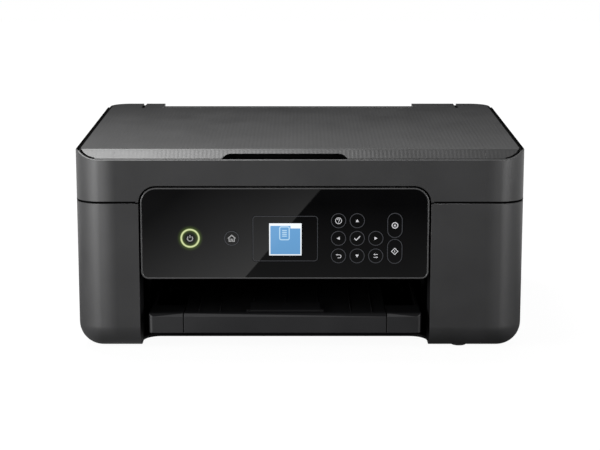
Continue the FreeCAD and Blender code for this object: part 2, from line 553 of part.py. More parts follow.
def pickup():
    centre = ("pickup_y", "pickup_arm_height")
    inner = ("bay_centre - pickup_half + wall", "bay_centre + pickup_half - wall")
    tyre = rod("x", ("bay_centre - pickup_width / 2", "bay_centre + pickup_width / 2"), centre,
               "pickup_radius")
    node("pickup_roller", fuse(tyre, rod("x", inner, centre, "axle_radius")))
    height = ("pickup_arm_height - 2 * axle_radius", "pickup_arm_height + 2 * axle_radius")
    links = [block(mirrored(sign, "pickup_width / 2 + 2 * run_gap", "pickup_half - wall", "bay_centre"),
                   ("pickup_arm_y", "pickup_y + 2 * axle_radius"), height) for sign in (-1, 1)]
    hub = rod("x", inner, ("pickup_arm_y", "pickup_arm_height"), "2 * axle_radius")
    across = ("bay_centre - pickup_half", "bay_centre + pickup_half")
    node("pickup_arm", cut(fuse(hub, *links),
                           rod("x", across, ("pickup_arm_y", "pickup_arm_height"), "axle_radius + fit_gap"),
                           rod("x", across, centre, "axle_radius + fit_gap")))


def print_carriage():
    width = ("carriage_park - carriage_width / 2", "carriage_park + carriage_width / 2")
    tub = block(width, ("carriage_front", "carriage_back"), ("carriage_low", "carriage_high"))
    nose = block(("carriage_park - nose_width / 2", "carriage_park + nose_width / 2"),
                 ("platen_y - cap_depth / 2 + 2 * wall", "platen_y + cap_depth / 2 - 2 * wall"),
                 ("nose_low", "carriage_low"))
    slider = block(("carriage_park - nose_width / 2", "carriage_park + nose_width / 2"),
                   ("carriage_back", "rail_y - run_gap"),
                   ("rail_high + run_gap", "rail_high + 2 * rail_thick"))
    grip = ("clamp_x - 3 * rail_thick", "clamp_x + 3 * rail_thick")
    over = ("belt_high + run_gap", "belt_high + rail_thick")
    fingers = [("belt_run - belt_thick - run_gap - rail_thick", "belt_run - belt_thick - run_gap"),
               ("belt_run + run_gap", "belt_run + run_gap + rail_thick")]
    arm = [block(grip, ("carriage_back - carriage_wall", "belt_run + run_gap + rail_thick"), over)]
    arm += [block(grip, finger, ("belt_low", "belt_high + rail_thick")) for finger in fingers]
    well = block(("carriage_park - 2 * ink_pitch", "carriage_park + 2 * ink_pitch"),
                 ("carriage_front + carriage_wall", "ink_front + ink_depth + run_gap"),
                 ("ink_low", "carriage_high + wall"))
    way = rod("x", (f"{width[0]} - wall", f"{width[1]} + wall"), ("rod_y", "rod_height"),
              "rod_radius + fit_gap")
    node("printhead_carriage", cut(fuse(tub, nose, slider, *arm), well, way))
    for number, name in enumerate(("ink_black", "ink_cyan", "ink_magenta", "ink_yellow")):
        x = f"carriage_park + {number - 1.5} * ink_pitch"
        body = block((f"{x} - ink_width / 2", f"{x} + ink_width / 2"), ("ink_front", "ink_front + ink_depth"),
                     ("ink_low", "carriage_high + ink_proud"))
        step = block((f"{x} - ink_width", f"{x} + ink_width"), ("ink_front - wall", "ink_front + 2 * wall"),
                     ("carriage_high - wall", "carriage_high + 2 * wall"))
        node(name, cut(body, step))
    across = ("-end_plate_place - end_plate_thick", "end_plate_place + end_plate_thick")
    node("carriage_shaft", rod("x", across, ("rod_y", "rod_height"), "rod_radius"))


def carriage_drive():
    def stadium(radius, low, high):
        ends = [rod("z", (low, high), (x, "belt_y"), radius) for x in ("drive_pulley_x", "idler_pulley_x")]
        middle = block(("drive_pulley_x", "idler_pulley_x"), (f"belt_y - ({radius})", f"belt_y + {radius}"),
                       (low, high))
        return fuse(middle, *ends)

    node("carriage_belt", cut(stadium("pulley_radius + belt_thick", "belt_low", "belt_high"),
                              stadium("pulley_radius + fit_gap", "belt_low - wall", "belt_high + wall")))
    flange = ("belt_high + fit_gap", "belt_high + belt_thick")
    for name, x in (("drive_pulley", "drive_pulley_x"), ("idler_pulley", "idler_pulley_x")):
        wheel = [rod("z", ("belt_low", "belt_high + belt_thick"), (x, "belt_y"), "pulley_radius"),
                 rod("z", flange, (x, "belt_y"), "pulley_radius + belt_thick")]
        if name == "drive_pulley":
            wheel.append(rod("z", ("motor_high - 4 * axle_radius", "belt_low"), (x, "belt_y"), "axle_radius"))
            node(name, fuse(*wheel))
        else:
            bore = rod("z", ("belt_low - wall", "belt_high + fit_gap"), (x, "belt_y"),
                       "axle_radius + fit_gap")
            node(name, cut(fuse(*wheel), bore))
    spin = ("drive_pulley_x", "belt_y")
    can = rod("z", ("motor_low", "motor_high"), spin, "carriage_motor_radius")
    node("carriage_motor", cut(can, rod("z", ("motor_high - 5 * axle_radius", "motor_high + wall"), spin,
                                        "axle_radius + fit_gap")))
    cap = block(("carriage_park - cap_width / 2", "carriage_park + cap_width / 2"),
                ("platen_y - cap_depth / 2", "platen_y + cap_depth / 2"), ("cap_low", "nose_low - run_gap"))
    bores = [rod("z", ("cap_low - wall", "nose_low - wall"),
                 (f"carriage_park + {sign} * cap_width / 3", "platen_y"), "axle_radius + fit_gap")
             for sign in (-1, 1)]
    lip = block(("carriage_park - cap_width / 6", "carriage_park + cap_width / 6"),
                ("platen_y - cap_depth / 4", "platen_y + cap_depth / 4"),
                ("nose_low - wall", "nose_low + wall"))
    node("cap_station", cut(cap, *bores, lip))


BUTTONS = {
    "button_power": ("power_column", "button_row"), "button_home": ("home_column", "button_row"),
    "button_help": ("button_column - button_pitch", "button_row + button_rise"),
    "button_up": ("button_column", "button_row + button_rise"),
    "button_left": ("button_column - button_pitch", "button_row"),
    "button_ok": ("button_column", "button_row"),
    "button_right": ("button_column + button_pitch", "button_row"),
    "button_back": ("button_column - button_pitch", "button_row - button_rise"),
    "button_down": ("button_column", "button_row - button_rise"),
    "button_settings": ("button_column + button_pitch", "button_row - button_rise"),
    "button_stop": ("oval_column", "oval_high"), "button_start": ("oval_column", "oval_low"),
}


def button_shape(name, depth, grow="0"):
    """A round cap, or an upright oval for the stop and start buttons."""
    x, z = BUTTONS[name]
    if name not in ("button_stop", "button_start"):
        return rod("y", depth, (x, z), f"button_radius + {grow}")
    half = f"oval_width / 2 + {grow}"
    reach = "(oval_height - oval_width) / 2"
    ends = [rod("y", depth, (x, f"{z} {sign} {reach}"), half) for sign in "+-"]
    middle = block((f"{x} - ({half})", f"{x} + {half}"), depth, (f"{z} - {reach}", f"{z} + {reach}"))
    return fuse(middle, *ends)


def panel_outline(name, depth):
    """A plate that faces the front, with wide upper corners and tighter lower ones."""
    body = doc.addObject("PartDesign::Body", name)
    outline = rectangle(body, "XZ_Plane", ("panel_left", depth[1], "panel_low"), "panel_width",
                        "panel_high - panel_low")
    pad(body, outline, f"({depth[1]}) - ({depth[0]})")
    middle = (size("panel_low") + size("panel_high")) / 2
    dress(body, "Fillet", lambda edge: lengthwise(edge) and edge.BoundBox.ZMin > middle, "Radius",
          "panel_top_round")
    dress(body, "Fillet", lambda edge: lengthwise(edge) and edge.BoundBox.ZMax < middle, "Radius",
          "panel_bottom_round")
    return body


def control_panel():
    fascia = panel_outline("fascia_plate", ("panel_front", "fascia_back"))
    face = size("panel_front")
    dress(fascia, "Fillet", lambda edge: edge.BoundBox.YMax < face + 1e-3, "Radius", "fascia_edge")
    through = ("panel_front - wall", "fascia_back + wall")
    holes = [button_shape(name, through, "button_gap") for name in BUTTONS if name != "button_power"]
    holes.append(rod("y", through, BUTTONS["button_power"], "ring_radius + fit_gap"))
    screen_x = ("lcd_column - lcd_width / 2", "lcd_column + lcd_width / 2")
    screen_z = ("lcd_centre - lcd_height / 2", "lcd_centre + lcd_height / 2")
    window_x, window_z = [(f"{low} - button_gap", f"{high} + button_gap")
                          for low, high in (screen_x, screen_z)]
    holes.append(rounded_plate("lcd_window", window_x, through, window_z, "lcd_round + button_gap"))
    node("panel_fascia", cut(fascia, *holes))
    screen_y = ("panel_front + button_gap", "board_front")
    node("lcd_module", rounded_plate("lcd_body", screen_x, screen_y, screen_z, "lcd_round"))

    tub = panel_outline("panel_tub", ("fascia_back", "panel_back"))
    hollow(tub, FORWARD, "panel_wall")
    lugs = []
    slots = []
    for x in ("panel_left + panel_arm_inset", "panel_right - panel_arm_inset"):
        lugs.append(block((f"{x} - 2 * panel_arm_width", f"{x} + 2 * panel_arm_width"),
                          ("fascia_back", "panel_back"),
                          ("panel_pin_z - 3 * panel_pin_radius", "panel_high - panel_wall / 2")))
        half = "panel_arm_width / 2 + 2 * run_gap"
        slots.append(block((f"{x} - ({half})", f"{x} + {half}"), ("fascia_back - wall", "panel_back + wall"),
                           ("panel_pin_z - panel_arm_height / 2 - run_gap", "panel_high + wall")))
        slots.append(rod("x", (f"{x} - panel_pin_reach - split_gap", f"{x} + panel_pin_reach + split_gap"),
                         ("panel_pin_y", "panel_pin_z"), "panel_pin_radius + fit_gap"))
    board_x = ("panel_left + board_inset", "panel_right - board_inset")
    board_z = ("panel_low + board_inset", "panel_high - 1.5 * board_inset")
    bosses = [rod("y", ("board_back_face", "panel_back"), (f"{x} {dx} board_inset", f"{z} {dz} board_inset"),
                  "stem_radius")
              for x, dx in zip(board_x, "+-") for z, dz in zip(board_z, "+-")]
    node("panel_housing", cut(fuse(tub, *lugs, *bosses), *slots))

    board = [block(board_x, ("board_front", "board_back_face"), board_z)]
    for x, z in BUTTONS.values():
        board.append(block((f"{x} - switch_width / 2", f"{x} + switch_width / 2"),
                           ("switch_front", "board_front"),
                           (f"{z} - switch_width / 2", f"{z} + switch_width / 2")))
    node("panel_board", fuse(*board))
    x, z = BUTTONS["button_power"]
    node("power_ring", cut(rod("y", ("panel_front", "board_front"), (x, z), "ring_radius"),
                           rod("y", ("panel_front - wall", "board_front + wall"), (x, z),
                               "button_radius + button_gap")))
    for name, place in BUTTONS.items():
        node(name, fuse(button_shape(name, ("cap_front", "cap_front + button_thick")),
                        rod("y", ("cap_front + button_thick - fit_gap", "stem_back"), place, "stem_radius")))


def front_block(name, x):
    """A block of the tray's front, bevelled along its upper front edge."""
    body = doc.addObject("PartDesign::Body", name)
    outline = rectangle(body, "XY_Plane", (x[0], "cassette_front", "cassette_front_low"),
                        f"({x[1]}) - ({x[0]})", "front_thick - run_gap")
    pad(body, outline, "cassette_high - cassette_front_low")
    face = size("cassette_front")
    top = size("cassette_high")
    dress(body, "Chamfer", lambda edge: edge.BoundBox.YMax < face + 1e-3 and edge.BoundBox.ZMin > top - 1e-3,
          "Size", "tray_bevel")
    return body


def paper_cassette():
    inside = ("cassette_front + front_thick", "cassette_back")
    walls = [block(("cassette_left", "cassette_right"), inside, ("cassette_low", "cassette_top"))]
    for name, edge, block_x, ledge_x in (
            ("left_corner", ("cassette_left", "cassette_left + cassette_wall"),
             ("cassette_left", "tray_left - tray_gap"),
             ("tray_left - 2 * wall", "tray_left + 2 * wall")),
            ("right_corner", ("cassette_right - cassette_wall", "cassette_right"),
             ("tray_right + tray_gap", "cassette_right"),
             ("tray_right - 2 * wall", "tray_right + 2 * wall"))):
        walls.append(block(edge, inside, ("cassette_low", "cassette_side_high")))
        corner = front_block(name, block_x)
        outer = size("cassette_left" if name == "left_corner" else "cassette_right")
        near = size("cassette_front") + size("tray_bevel")
        dress(corner, "Fillet", lambda edge: upright(edge) and abs(edge.BoundBox.XMin - outer) < 1e-3
              and edge.BoundBox.YMin < near, "Radius", "front_block_round")
        walls.append(corner)
        deep = "cassette_front + front_block_depth"
        walls.append(block(block_x, ("cassette_front + front_thick - wall", deep),
                           ("cassette_front_low", "cassette_high - tray_bevel")))
        walls.append(block(block_x, (inside[0], deep), ("cassette_low", "cassette_front_low + wall")))
        walls.append(block(ledge_x, (inside[0], deep), ("cassette_top", "tray_low - run_gap")))
    walls.append(rod("z", ("cassette_low", "rack_high"), ("bay_centre", "guide_centre"), "axle_radius"))
    node("paper_cassette", fuse(*walls))

    front = front_block("tray_front", ("tray_left", "tray_right"))
    plate = block(("tray_left", "tray_right"), ("cassette_front + wall", "cassette_front + tray_length"),
                  ("tray_low", "tray_top"))
    ears = []
    for sign in (-1, 1):
        ears.append(block(mirrored(sign, "stop_width / 2 + run_gap", "stop_width / 2 + wall", "bay_centre"),
                          ("stop_y - stop_knuckle", "stop_y + stop_knuckle"),
                          ("tray_low", "stop_z + stop_knuckle")))
        pin_x = mirrored(sign, "stop_width / 2 - 2 * wall", "stop_width / 2 + wall", "bay_centre")
        ears.append(rod("x", pin_x, ("stop_y", "stop_z"), "stop_pin_radius"))
    node("output_tray", fuse(front, plate, *ears))
    across = ("bay_centre - stop_width / 2", "bay_centre + stop_width / 2")
    flap = block(across, ("stop_y", "stop_y + stop_length"),
                 ("stop_z - stop_thick / 2", "stop_z + stop_thick / 2"))
    node("paper_stop", cut(fuse(flap, rod("x", across, ("stop_y", "stop_z"), "stop_knuckle")),
                           rod("x", (f"{across[0]} - wall", f"{across[1]} + wall"), ("stop_y", "stop_z"),
                               "stop_pin_radius + fit_gap")))


def rack(side, reach):
    """A toothed bar along x, in front of the pinion for side -1 and behind it for side 1."""
    module = size("gear_module")
    pitch = math.pi * module
    line = size("guide_centre") + side * module * size("pinion_teeth") / 2
    half = pitch / 4 - size("gear_backlash")
    lean = math.tan(math.radians(size("tooth_angle")))
    over, under = size("tooth_tip") * module, size("tooth_root") * module
    tip = line - side * over
    root = line + side * under
    spine = line + side * size("rack_depth")
    middle = size("bay_centre")
    far = middle + side * reach
    reach_back = int(size("rack_teeth")) // 2
    near = middle - side * (reach_back + 1) * pitch
    points = [(near, spine), (near, root)]
    for number in range(-reach_back, reach_back + 1):
        centre = middle + side * (number + 0.5) * pitch
        points += [(centre - side * (half + under * lean), root), (centre - side * (half - over * lean), tip),
                   (centre + side * (half - over * lean), tip), (centre + side * (half + under * lean), root)]
    points += [(far, root), (far, spine)]
    corners = [FreeCAD.Vector(x, y) for x, y in points]
    bar = doc.addObject("Part::Feature", "rack")
    bar.Shape = Part.Face(Part.makePolygon(corners + corners[:1])).extrude(UP * size("rack_thick"))
    bar.Placement = FreeCAD.Placement(UP * size("rack_low"), FreeCAD.Rotation())
    return bar


def paper_guides():
    for name, side in (("side_guide_left", -1), ("side_guide_right", 1)):
        fin_x = mirrored(side, "guide_spread", "guide_spread + guide_thick", "bay_centre")
        fin = block(fin_x, ("guide_centre - guide_length / 2", "guide_centre + guide_length / 2"),
                    ("guide_low", "guide_high"))
        spine = "gear_module * pinion_teeth / 2 + rack_depth"
        root = mirrored(side, f"{spine} - wall", spine, "guide_centre")
        node(name, fuse(fin, block(fin_x, root, ("rack_low", "guide_high")),
                        rack(side, size("guide_spread") + size("guide_thick"))))
    wheel = gear(int(size("pinion_teeth")), 0, "z", ("bay_centre", "guide_centre", "rack_low"), "rack_thick")
    bore = rod("z", ("rack_low - wall", "rack_high + wall"), ("bay_centre", "guide_centre"),
               "axle_radius + fit_gap")
    node("guide_pinion", cut(wheel, bore))
    across = ("bay_centre - end_guide_width / 2", "bay_centre + end_guide_width / 2")
    fence = block(across, ("end_guide_place - guide_thick", "end_guide_place"), ("rack_low", "guide_high"))
    sole = block(across, ("end_guide_place - guide_thick", "end_guide_place + 4 * wall"),
                 ("rack_low", "rack_high"))
    node("end_guide", fuse(fence, sole))


def wedge(x, start, end):
    """A solid along x whose lower and upper limits in z change evenly between two places in y."""
    thing = doc.addObject("Part::Wedge", "wedge")
    (y_start, low, high), (y_end, end_low, end_high) = start, end
    limits = {"Xmin": x[0], "Xmax": x[1], "X2min": x[0], "X2max": x[1], "Ymin": y_start, "Ymax": y_end,
              "Zmin": low, "Zmax": high, "Z2min": end_low, "Z2max": end_high}
    for prop, formula in limits.items():
        bind(thing, prop, formula)
    return thing


def above_bevel(drop):
    """What lies above the sloping front of the top, which starts a drop below the top."""
    steep = "cover_drop / cover_bevel"
    high = "case_height + 2 * cover_drop"
    return wedge(("left - wall", "right + wall"),
                 ("front - wall", f"case_height - {drop} - wall * {steep}", high),
                 ("front + 2 * cover_bevel", f"case_height - {drop} + 2 * cover_drop", high))


def scanner_housing():
    hull = rounded_block("unit_hull", ("left", "right"), ("front", "back"), ("unit_low", "rim_height"),
                         "corner_round")
    inner = rounded_block("unit_inside", ("left + wall", "right - wall"), ("front + wall", "back - wall"),
                          ("unit_low - wall", "deck_low"), "corner_round - wall")
    well = rounded_block("cover_well", ("left + rim_thick", "right - rim_thick"),
                         ("front + rim_thick", "back - rim_thick"), ("deck_height", "case_height + wall"),
                         "corner_round - rim_thick")
    arch = rounded_plate("bay_arch", ("bay_left", "bay_right"), ("front - wall", "front + 2 * wall"),
                         ("unit_low - 2 * band_round", "band_low"), "band_round")
    window = block(("-window_width / 2", "window_width / 2"), ("-window_depth / 2", "window_depth / 2"),
                   ("deck_low - wall", "deck_height + wall"))
    rear_rim = block(("left - wall", "right + wall"), ("back - corner_round", "back + wall"),
                     ("deck_height", "case_height + wall"))
    rear_edge = wedge(("left - wall", "right + wall"), ("unit_pin_y", "unit_low - wall", "split_height"),
                      ("back + wall", "unit_low - wall", "split_height + unit_pin_inset + wall"))
    shell = cut(hull, inner, well, arch, window, rear_rim, rear_edge, above_bevel("rim_front_drop"))
    tubes = []
    bores = []
    for sign in (-1, 1):
        tubes.append(block(mirrored(sign, "hinge_place - hinge_width / 2 - wall",
                                    "hinge_place + hinge_width / 2 + wall"),
                           ("hinge_pin_y - hinge_knuckle - wall", "back - wall / 2"),
                           ("hinge_low + wall", "deck_low + deck_thick / 2")))
        bores.append(block(mirrored(sign, "hinge_place - hinge_width / 2 - run_gap",
                                    "hinge_place + hinge_width / 2 + run_gap"),
                           ("hinge_pin_y - hinge_knuckle - run_gap", "hinge_pin_y + hinge_knuckle + run_gap"),
                           ("hinge_low - wall", "deck_height + wall")))
    node("scanner_housing", cut(fuse(shell, *tubes), *bores))
    node("scanner_glass", block(("-window_width / 2 - glass_lap", "window_width / 2 + glass_lap"),
                                ("-window_depth / 2 - glass_lap", "window_depth / 2 + glass_lap"),
                                ("glass_low", "deck_low")))


def scanner_inside():
    plate = rounded_block("pan_plate", ("left + wall + run_gap", "right - wall - run_gap"),
                          ("front + wall + run_gap", "back - wall - run_gap"), ("unit_low", "pan_high"),
                          "corner_round - wall - run_gap")
    edge = "unit_pin_y - unit_lug_radius - pan_thick"
    recess_x = ("bay_left - split_gap", "bay_right + split_gap")
    recess_front = "front + wall + run_gap"
    pan = cut(plate, block(("left", "right"), (edge, "back"), ("unit_low - wall", "pan_high + wall")),
              block(recess_x, ("front", "recess_back"), ("unit_low - wall", "pan_high + wall")))
    outer_x = (f"{recess_x[0]} - pan_thick", f"{recess_x[1]} + pan_thick")
    roof = ("band_low + run_gap", "band_low + run_gap + pan_thick")
    pieces = [pan, block(outer_x, (recess_front, "recess_back + pan_thick"), roof),
              block(outer_x, ("recess_back", "recess_back + pan_thick"), ("unit_low", roof[1]))]
    for low, high in ((outer_x[0], recess_x[0]), (recess_x[1], outer_x[1])):
        pieces.append(block((low, high), (recess_front, "recess_back + pan_thick"), ("unit_low", roof[1])))
    bores = []
    for sign in (-1, 1):
        lug_x = mirrored(sign, "unit_lug_place - unit_lug_width / 2", "unit_lug_place + unit_lug_width / 2")
        pieces.append(block(lug_x, (f"{edge} - pan_thick", "unit_pin_y"),
                            ("unit_low", "split_height + unit_lug_radius")))
        pieces.append(rod("x", lug_x, ("unit_pin_y", "split_height"), "unit_lug_radius"))
        pieces.append(block(mirrored(sign, "rod_end - 2 * wall", "rod_end"),
                            ("-2 * bar_rod_radius", "2 * bar_rod_radius"),
                            ("unit_low", "bar_rod_height + 2 * bar_rod_radius")))
        bores.append(rod("x", (f"{lug_x[0]} - wall", f"{lug_x[1]} + wall"), ("unit_pin_y", "split_height"),
                         "unit_pin_radius + fit_gap"))
    bores.append(rod("x", ("-rod_end - wall", "rod_end + wall"), ("0", "bar_rod_height"),
                     "bar_rod_radius + fit_gap"))
    node("scanner_pan", cut(fuse(*pieces), *bores))
    node("scan_rod", rod("x", ("-rod_end", "rod_end"), ("0", "bar_rod_height"), "bar_rod_radius"))
    bar_x = ("-bar_start - bar_width / 2", "-bar_start + bar_width / 2")
    bar = block(bar_x, ("-window_depth / 2 + wall", "window_depth / 2 - wall"), ("bar_low", "bar_high"))
    shoe = block(bar_x, ("-3 * bar_rod_radius", "3 * bar_rod_radius"),
                 ("bar_rod_height - 1.6 * bar_rod_radius", "bar_low"))
    node("scan_bar", cut(fuse(bar, shoe), rod("x", (f"{bar_x[0]} - wall", f"{bar_x[1]} + wall"),
                                              ("0", "bar_rod_height"), "bar_rod_radius + fit_gap")))

    lane = ("stay_x", "stay_x + stay_thick")
    arc = rod("x", lane, ("unit_pin_y", "split_height"), "stay_radius + stay_width / 2")
    arc.Placement = FreeCAD.Placement(arc.Placement.Base, FreeCAD.Rotation(
        FreeCAD.Vector(0, -1, 0), FreeCAD.Vector(0, 0, -1), FreeCAD.Vector(1, 0, 0), "XYZ"))
    bind(arc, "Angle", "stay_angle")
    hole = rod("x", ("stay_x - wall", "stay_x + stay_thick + wall"), ("unit_pin_y", "split_height"),
               "stay_radius - stay_width / 2")
    tab_y = ("unit_pin_y - stay_radius - stay_width / 2", "unit_pin_y - stay_radius + stay_width / 2")
    tab = block(lane, tab_y, ("split_height - fit_gap", "unit_low"))
    node("stay_arm", fuse(cut(arc, hole), tab))


def document_cover():
    hull = rounded_block("cover_hull", ("left + cover_side", "right - cover_side"),
                         ("front + cover_side", "back - cover_gap"), ("cover_low", "case_height"),
                         "corner_round - cover_side")
    inside = block(("left + cover_side + 4 * wall", "right - cover_side - 4 * wall"),
                   ("front + 2 * lift_depth", "back - slot_depth - wall"),
                   ("cover_low - wall", "case_height - cover_skin"))
    lift = rounded_plate("finger_gap", ("bay_centre - lift_width / 2", "bay_centre + lift_width / 2"),
                         ("front", "front + lift_depth"),
                         ("cover_low - 2 * lift_round", "cover_low + lift_height"), "lift_round")
    strip = wedge(("strip_left", "strip_right"), ("back - slot_depth", "case_height", "case_height + wall"),
                  ("back", "case_height - strip_drop", "case_height + wall"))
    cuts = [inside, lift, strip, above_bevel("cover_drop")]
    posts = []
    for sign in (-1, 1):
        cuts.append(block(mirrored(sign, "slot_place - slot_width / 2", "slot_place + slot_width / 2"),
                          ("back - slot_depth", "back"), ("cover_low - wall", "case_height + wall")))
        cuts.append(block(mirrored(sign, "hinge_place - hinge_width / 2 - 2 * run_gap",
                                   "hinge_place + hinge_width / 2 + 2 * run_gap"),
                          ("hinge_pin_y - hinge_knuckle - 2 * run_gap", "back"),
                          ("cover_low - wall", "hinge_pin_height + hinge_knuckle + run_gap")))
        pin_x = mirrored(sign, "hinge_place - 0.8 * hinge_width", "hinge_place + 0.8 * hinge_width")
        cuts.append(rod("x", pin_x, ("hinge_pin_y", "hinge_pin_height"), "hinge_pin_radius + fit_gap"))
        post_x = mirrored(sign, "hinge_place - hinge_width / 2", "hinge_place + hinge_width / 2")
        posts.append(fuse(block(post_x, ("hinge_pin_y - hinge_knuckle", "hinge_pin_y + hinge_knuckle"),
                                ("hinge_low", "hinge_pin_height")),
                          rod("x", post_x, ("hinge_pin_y", "hinge_pin_height"), "hinge_knuckle"),
                          rod("x", (f"{pin_x[0]} + run_gap", f"{pin_x[1]} - run_gap"),
                              ("hinge_pin_y", "hinge_pin_height"), "hinge_pin_radius")))
    node("document_cover", cut(hull, *cuts))
    node("cover_hinges", group(*posts))
    node("cover_foam", rounded_block("foam_mat", ("-window_width / 2 - wall", "window_width / 2 + wall"),
                                     ("-window_depth / 2 - wall", "window_depth / 2 + wall"),
                                     ("deck_height + run_gap", "case_height - cover_skin"), "wall"))


def rear_parts():
    cover_x = ("bay_centre - rear_cover_width / 2 + run_gap", "bay_centre + rear_cover_width / 2 - run_gap")
    cover_z = ("rear_cover_low + run_gap", "rear_cover_high - run_gap")
    plate = block(cover_x, ("back - wall", "back"), cover_z)
    guide = block((f"{cover_x[0]} + 2 * wall", f"{cover_x[1]} - 2 * wall"),
                  ("back - wall - rear_guide_depth", "back - wall"), ("plate_low", f"{cover_z[1]} - wall"))
    turn = rod("x", cover_x, ("back - wall - rear_guide_depth", "(plate_low + rear_cover_high) / 2"),
               "rear_guide_depth - wall")
    grip = block(("bay_centre - 6 * wall", "bay_centre + 6 * wall"), ("back - wall / 2", "back + wall"),
                 ("rear_cover_high - 6 * wall", "rear_cover_high - 3 * wall"))
    node("rear_cover", cut(fuse(plate, guide), turn, grip))

    box = block(("supply_right - supply_width", "supply_right"),
                ("supply_back - supply_depth", "supply_back"), ("floor_high", "floor_high + supply_height"))
    socket_z = "inlet_low + inlet_height / 2"
    inlet = block(("inlet_x - inlet_width / 2 + run_gap", "inlet_x + inlet_width / 2 - run_gap"),
                  ("supply_back", "back - run_gap"),
                  ("inlet_low + run_gap", "inlet_low + inlet_height - run_gap"))
    cavity = block(("inlet_x - socket_width / 2", "inlet_x + socket_width / 2"),
                   ("back - socket_depth", "back"),
                   (f"{socket_z} - socket_height / 2", f"{socket_z} + socket_height / 2"))
    pins = [rod("y", ("back - socket_depth - wall", "back - socket_depth / 3"),
                (f"inlet_x + {sign} * socket_width / 4", socket_z), "wall / 2") for sign in (-1, 1)]
    node("power_supply", fuse(cut(fuse(box, inlet), cavity), *pins))

    board = block(("usb_place - board_width / 2", "usb_place + board_width / 2"),
                  ("board_back - board_thick", "board_back"), ("board_low", "board_high"))
    port = block(("usb_place - usb_width / 2 + run_gap", "usb_place + usb_width / 2 - run_gap"),
                 ("board_back", "back - run_gap"), ("usb_low + run_gap", "usb_low + usb_height - run_gap"))
    mouth = block(("usb_place - usb_width / 2 + wall / 2", "usb_place + usb_width / 2 - wall / 2"),
                  ("back - usb_depth", "back"), ("usb_low + wall / 2", "usb_low + usb_height - wall / 2"))
    chip_x = [f"usb_place + {step} * board_width / 4" for step in (-1, 0, 1)]
    chips = [block((f"{x} - 2 * wall", f"{x} + 2 * wall"),
                   ("board_back - 2 * board_thick", "board_back - board_thick"),
                   ("board_high - 8 * wall", "board_high - 4 * wall")) for x in chip_x]
    node("main_board", fuse(board, cut(port, mouth), *chips))


def check_and_write():
    doc.recompute()
    for thing in doc.Objects:
        if {"Invalid", "Error"} & set(thing.State):
            raise RuntimeError(f"{thing.Label} failed: {thing.State}")
    for name, thing in nodes.items():
        if thing.Shape.isNull() or not thing.Shape.isValid():
            raise RuntimeError(f"{name} has no valid shape")
    os.makedirs("parts", exist_ok=True)
    for name, thing in nodes.items():
        thing.Shape.exportStep(f"parts/{name}.step")
        print(name, len(thing.Shape.Solids), round(thing.Shape.Volume))


base_case()
rubber_feet()
chassis_frame()
rear_parts()
paper_cassette()
paper_guides()
paper_feed()
pickup()
print_carriage()
carriage_drive()
control_panel()
scanner_housing()
scanner_inside()
document_cover()
check_and_write()
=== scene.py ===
import json
import math
import bpy
import numpy as np
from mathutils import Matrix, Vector


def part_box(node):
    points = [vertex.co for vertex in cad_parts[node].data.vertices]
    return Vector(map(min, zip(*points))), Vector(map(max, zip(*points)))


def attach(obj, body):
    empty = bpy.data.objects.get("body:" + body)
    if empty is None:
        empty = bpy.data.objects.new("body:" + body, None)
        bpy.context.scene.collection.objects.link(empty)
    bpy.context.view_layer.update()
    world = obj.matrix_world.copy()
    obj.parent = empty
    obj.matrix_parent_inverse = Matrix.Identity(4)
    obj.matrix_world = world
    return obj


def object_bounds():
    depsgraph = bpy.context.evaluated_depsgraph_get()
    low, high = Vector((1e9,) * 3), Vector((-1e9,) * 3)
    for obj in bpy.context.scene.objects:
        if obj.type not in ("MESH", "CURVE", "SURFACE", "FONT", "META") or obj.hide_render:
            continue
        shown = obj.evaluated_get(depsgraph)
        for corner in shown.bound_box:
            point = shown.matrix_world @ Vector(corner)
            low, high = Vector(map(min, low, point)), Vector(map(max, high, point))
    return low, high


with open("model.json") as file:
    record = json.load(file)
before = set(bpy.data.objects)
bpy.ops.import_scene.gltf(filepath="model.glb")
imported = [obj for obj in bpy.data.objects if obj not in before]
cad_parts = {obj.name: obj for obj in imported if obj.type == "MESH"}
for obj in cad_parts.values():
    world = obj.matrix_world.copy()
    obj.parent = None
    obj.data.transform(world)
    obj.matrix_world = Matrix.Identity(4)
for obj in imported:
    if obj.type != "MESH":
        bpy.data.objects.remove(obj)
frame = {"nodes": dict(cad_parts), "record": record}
nodes = frame["nodes"]
cadLow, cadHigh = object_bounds()
mm = 0.001
print("frame:", len(nodes), "nodes")

# Camera: the photograph's place and height, tilted down on the middle of the printer.
camera = {"place": (0, -1.61, 0.4043), "tilt": 11.465, "lens": 107.5, "sensor": 36}

lens = bpy.data.cameras.new("photoCamera")
lens.lens = camera["lens"]
lens.sensor_width = camera["sensor"]
cameraObject = bpy.data.objects.new("photoCamera", lens)
cameraObject.location = camera["place"]
cameraObject.rotation_euler = (math.radians(90 - camera["tilt"]), 0, 0)
bpy.context.collection.objects.link(cameraObject)
bpy.context.scene.camera = cameraObject
bpy.context.scene.view_settings.view_transform = "Standard"


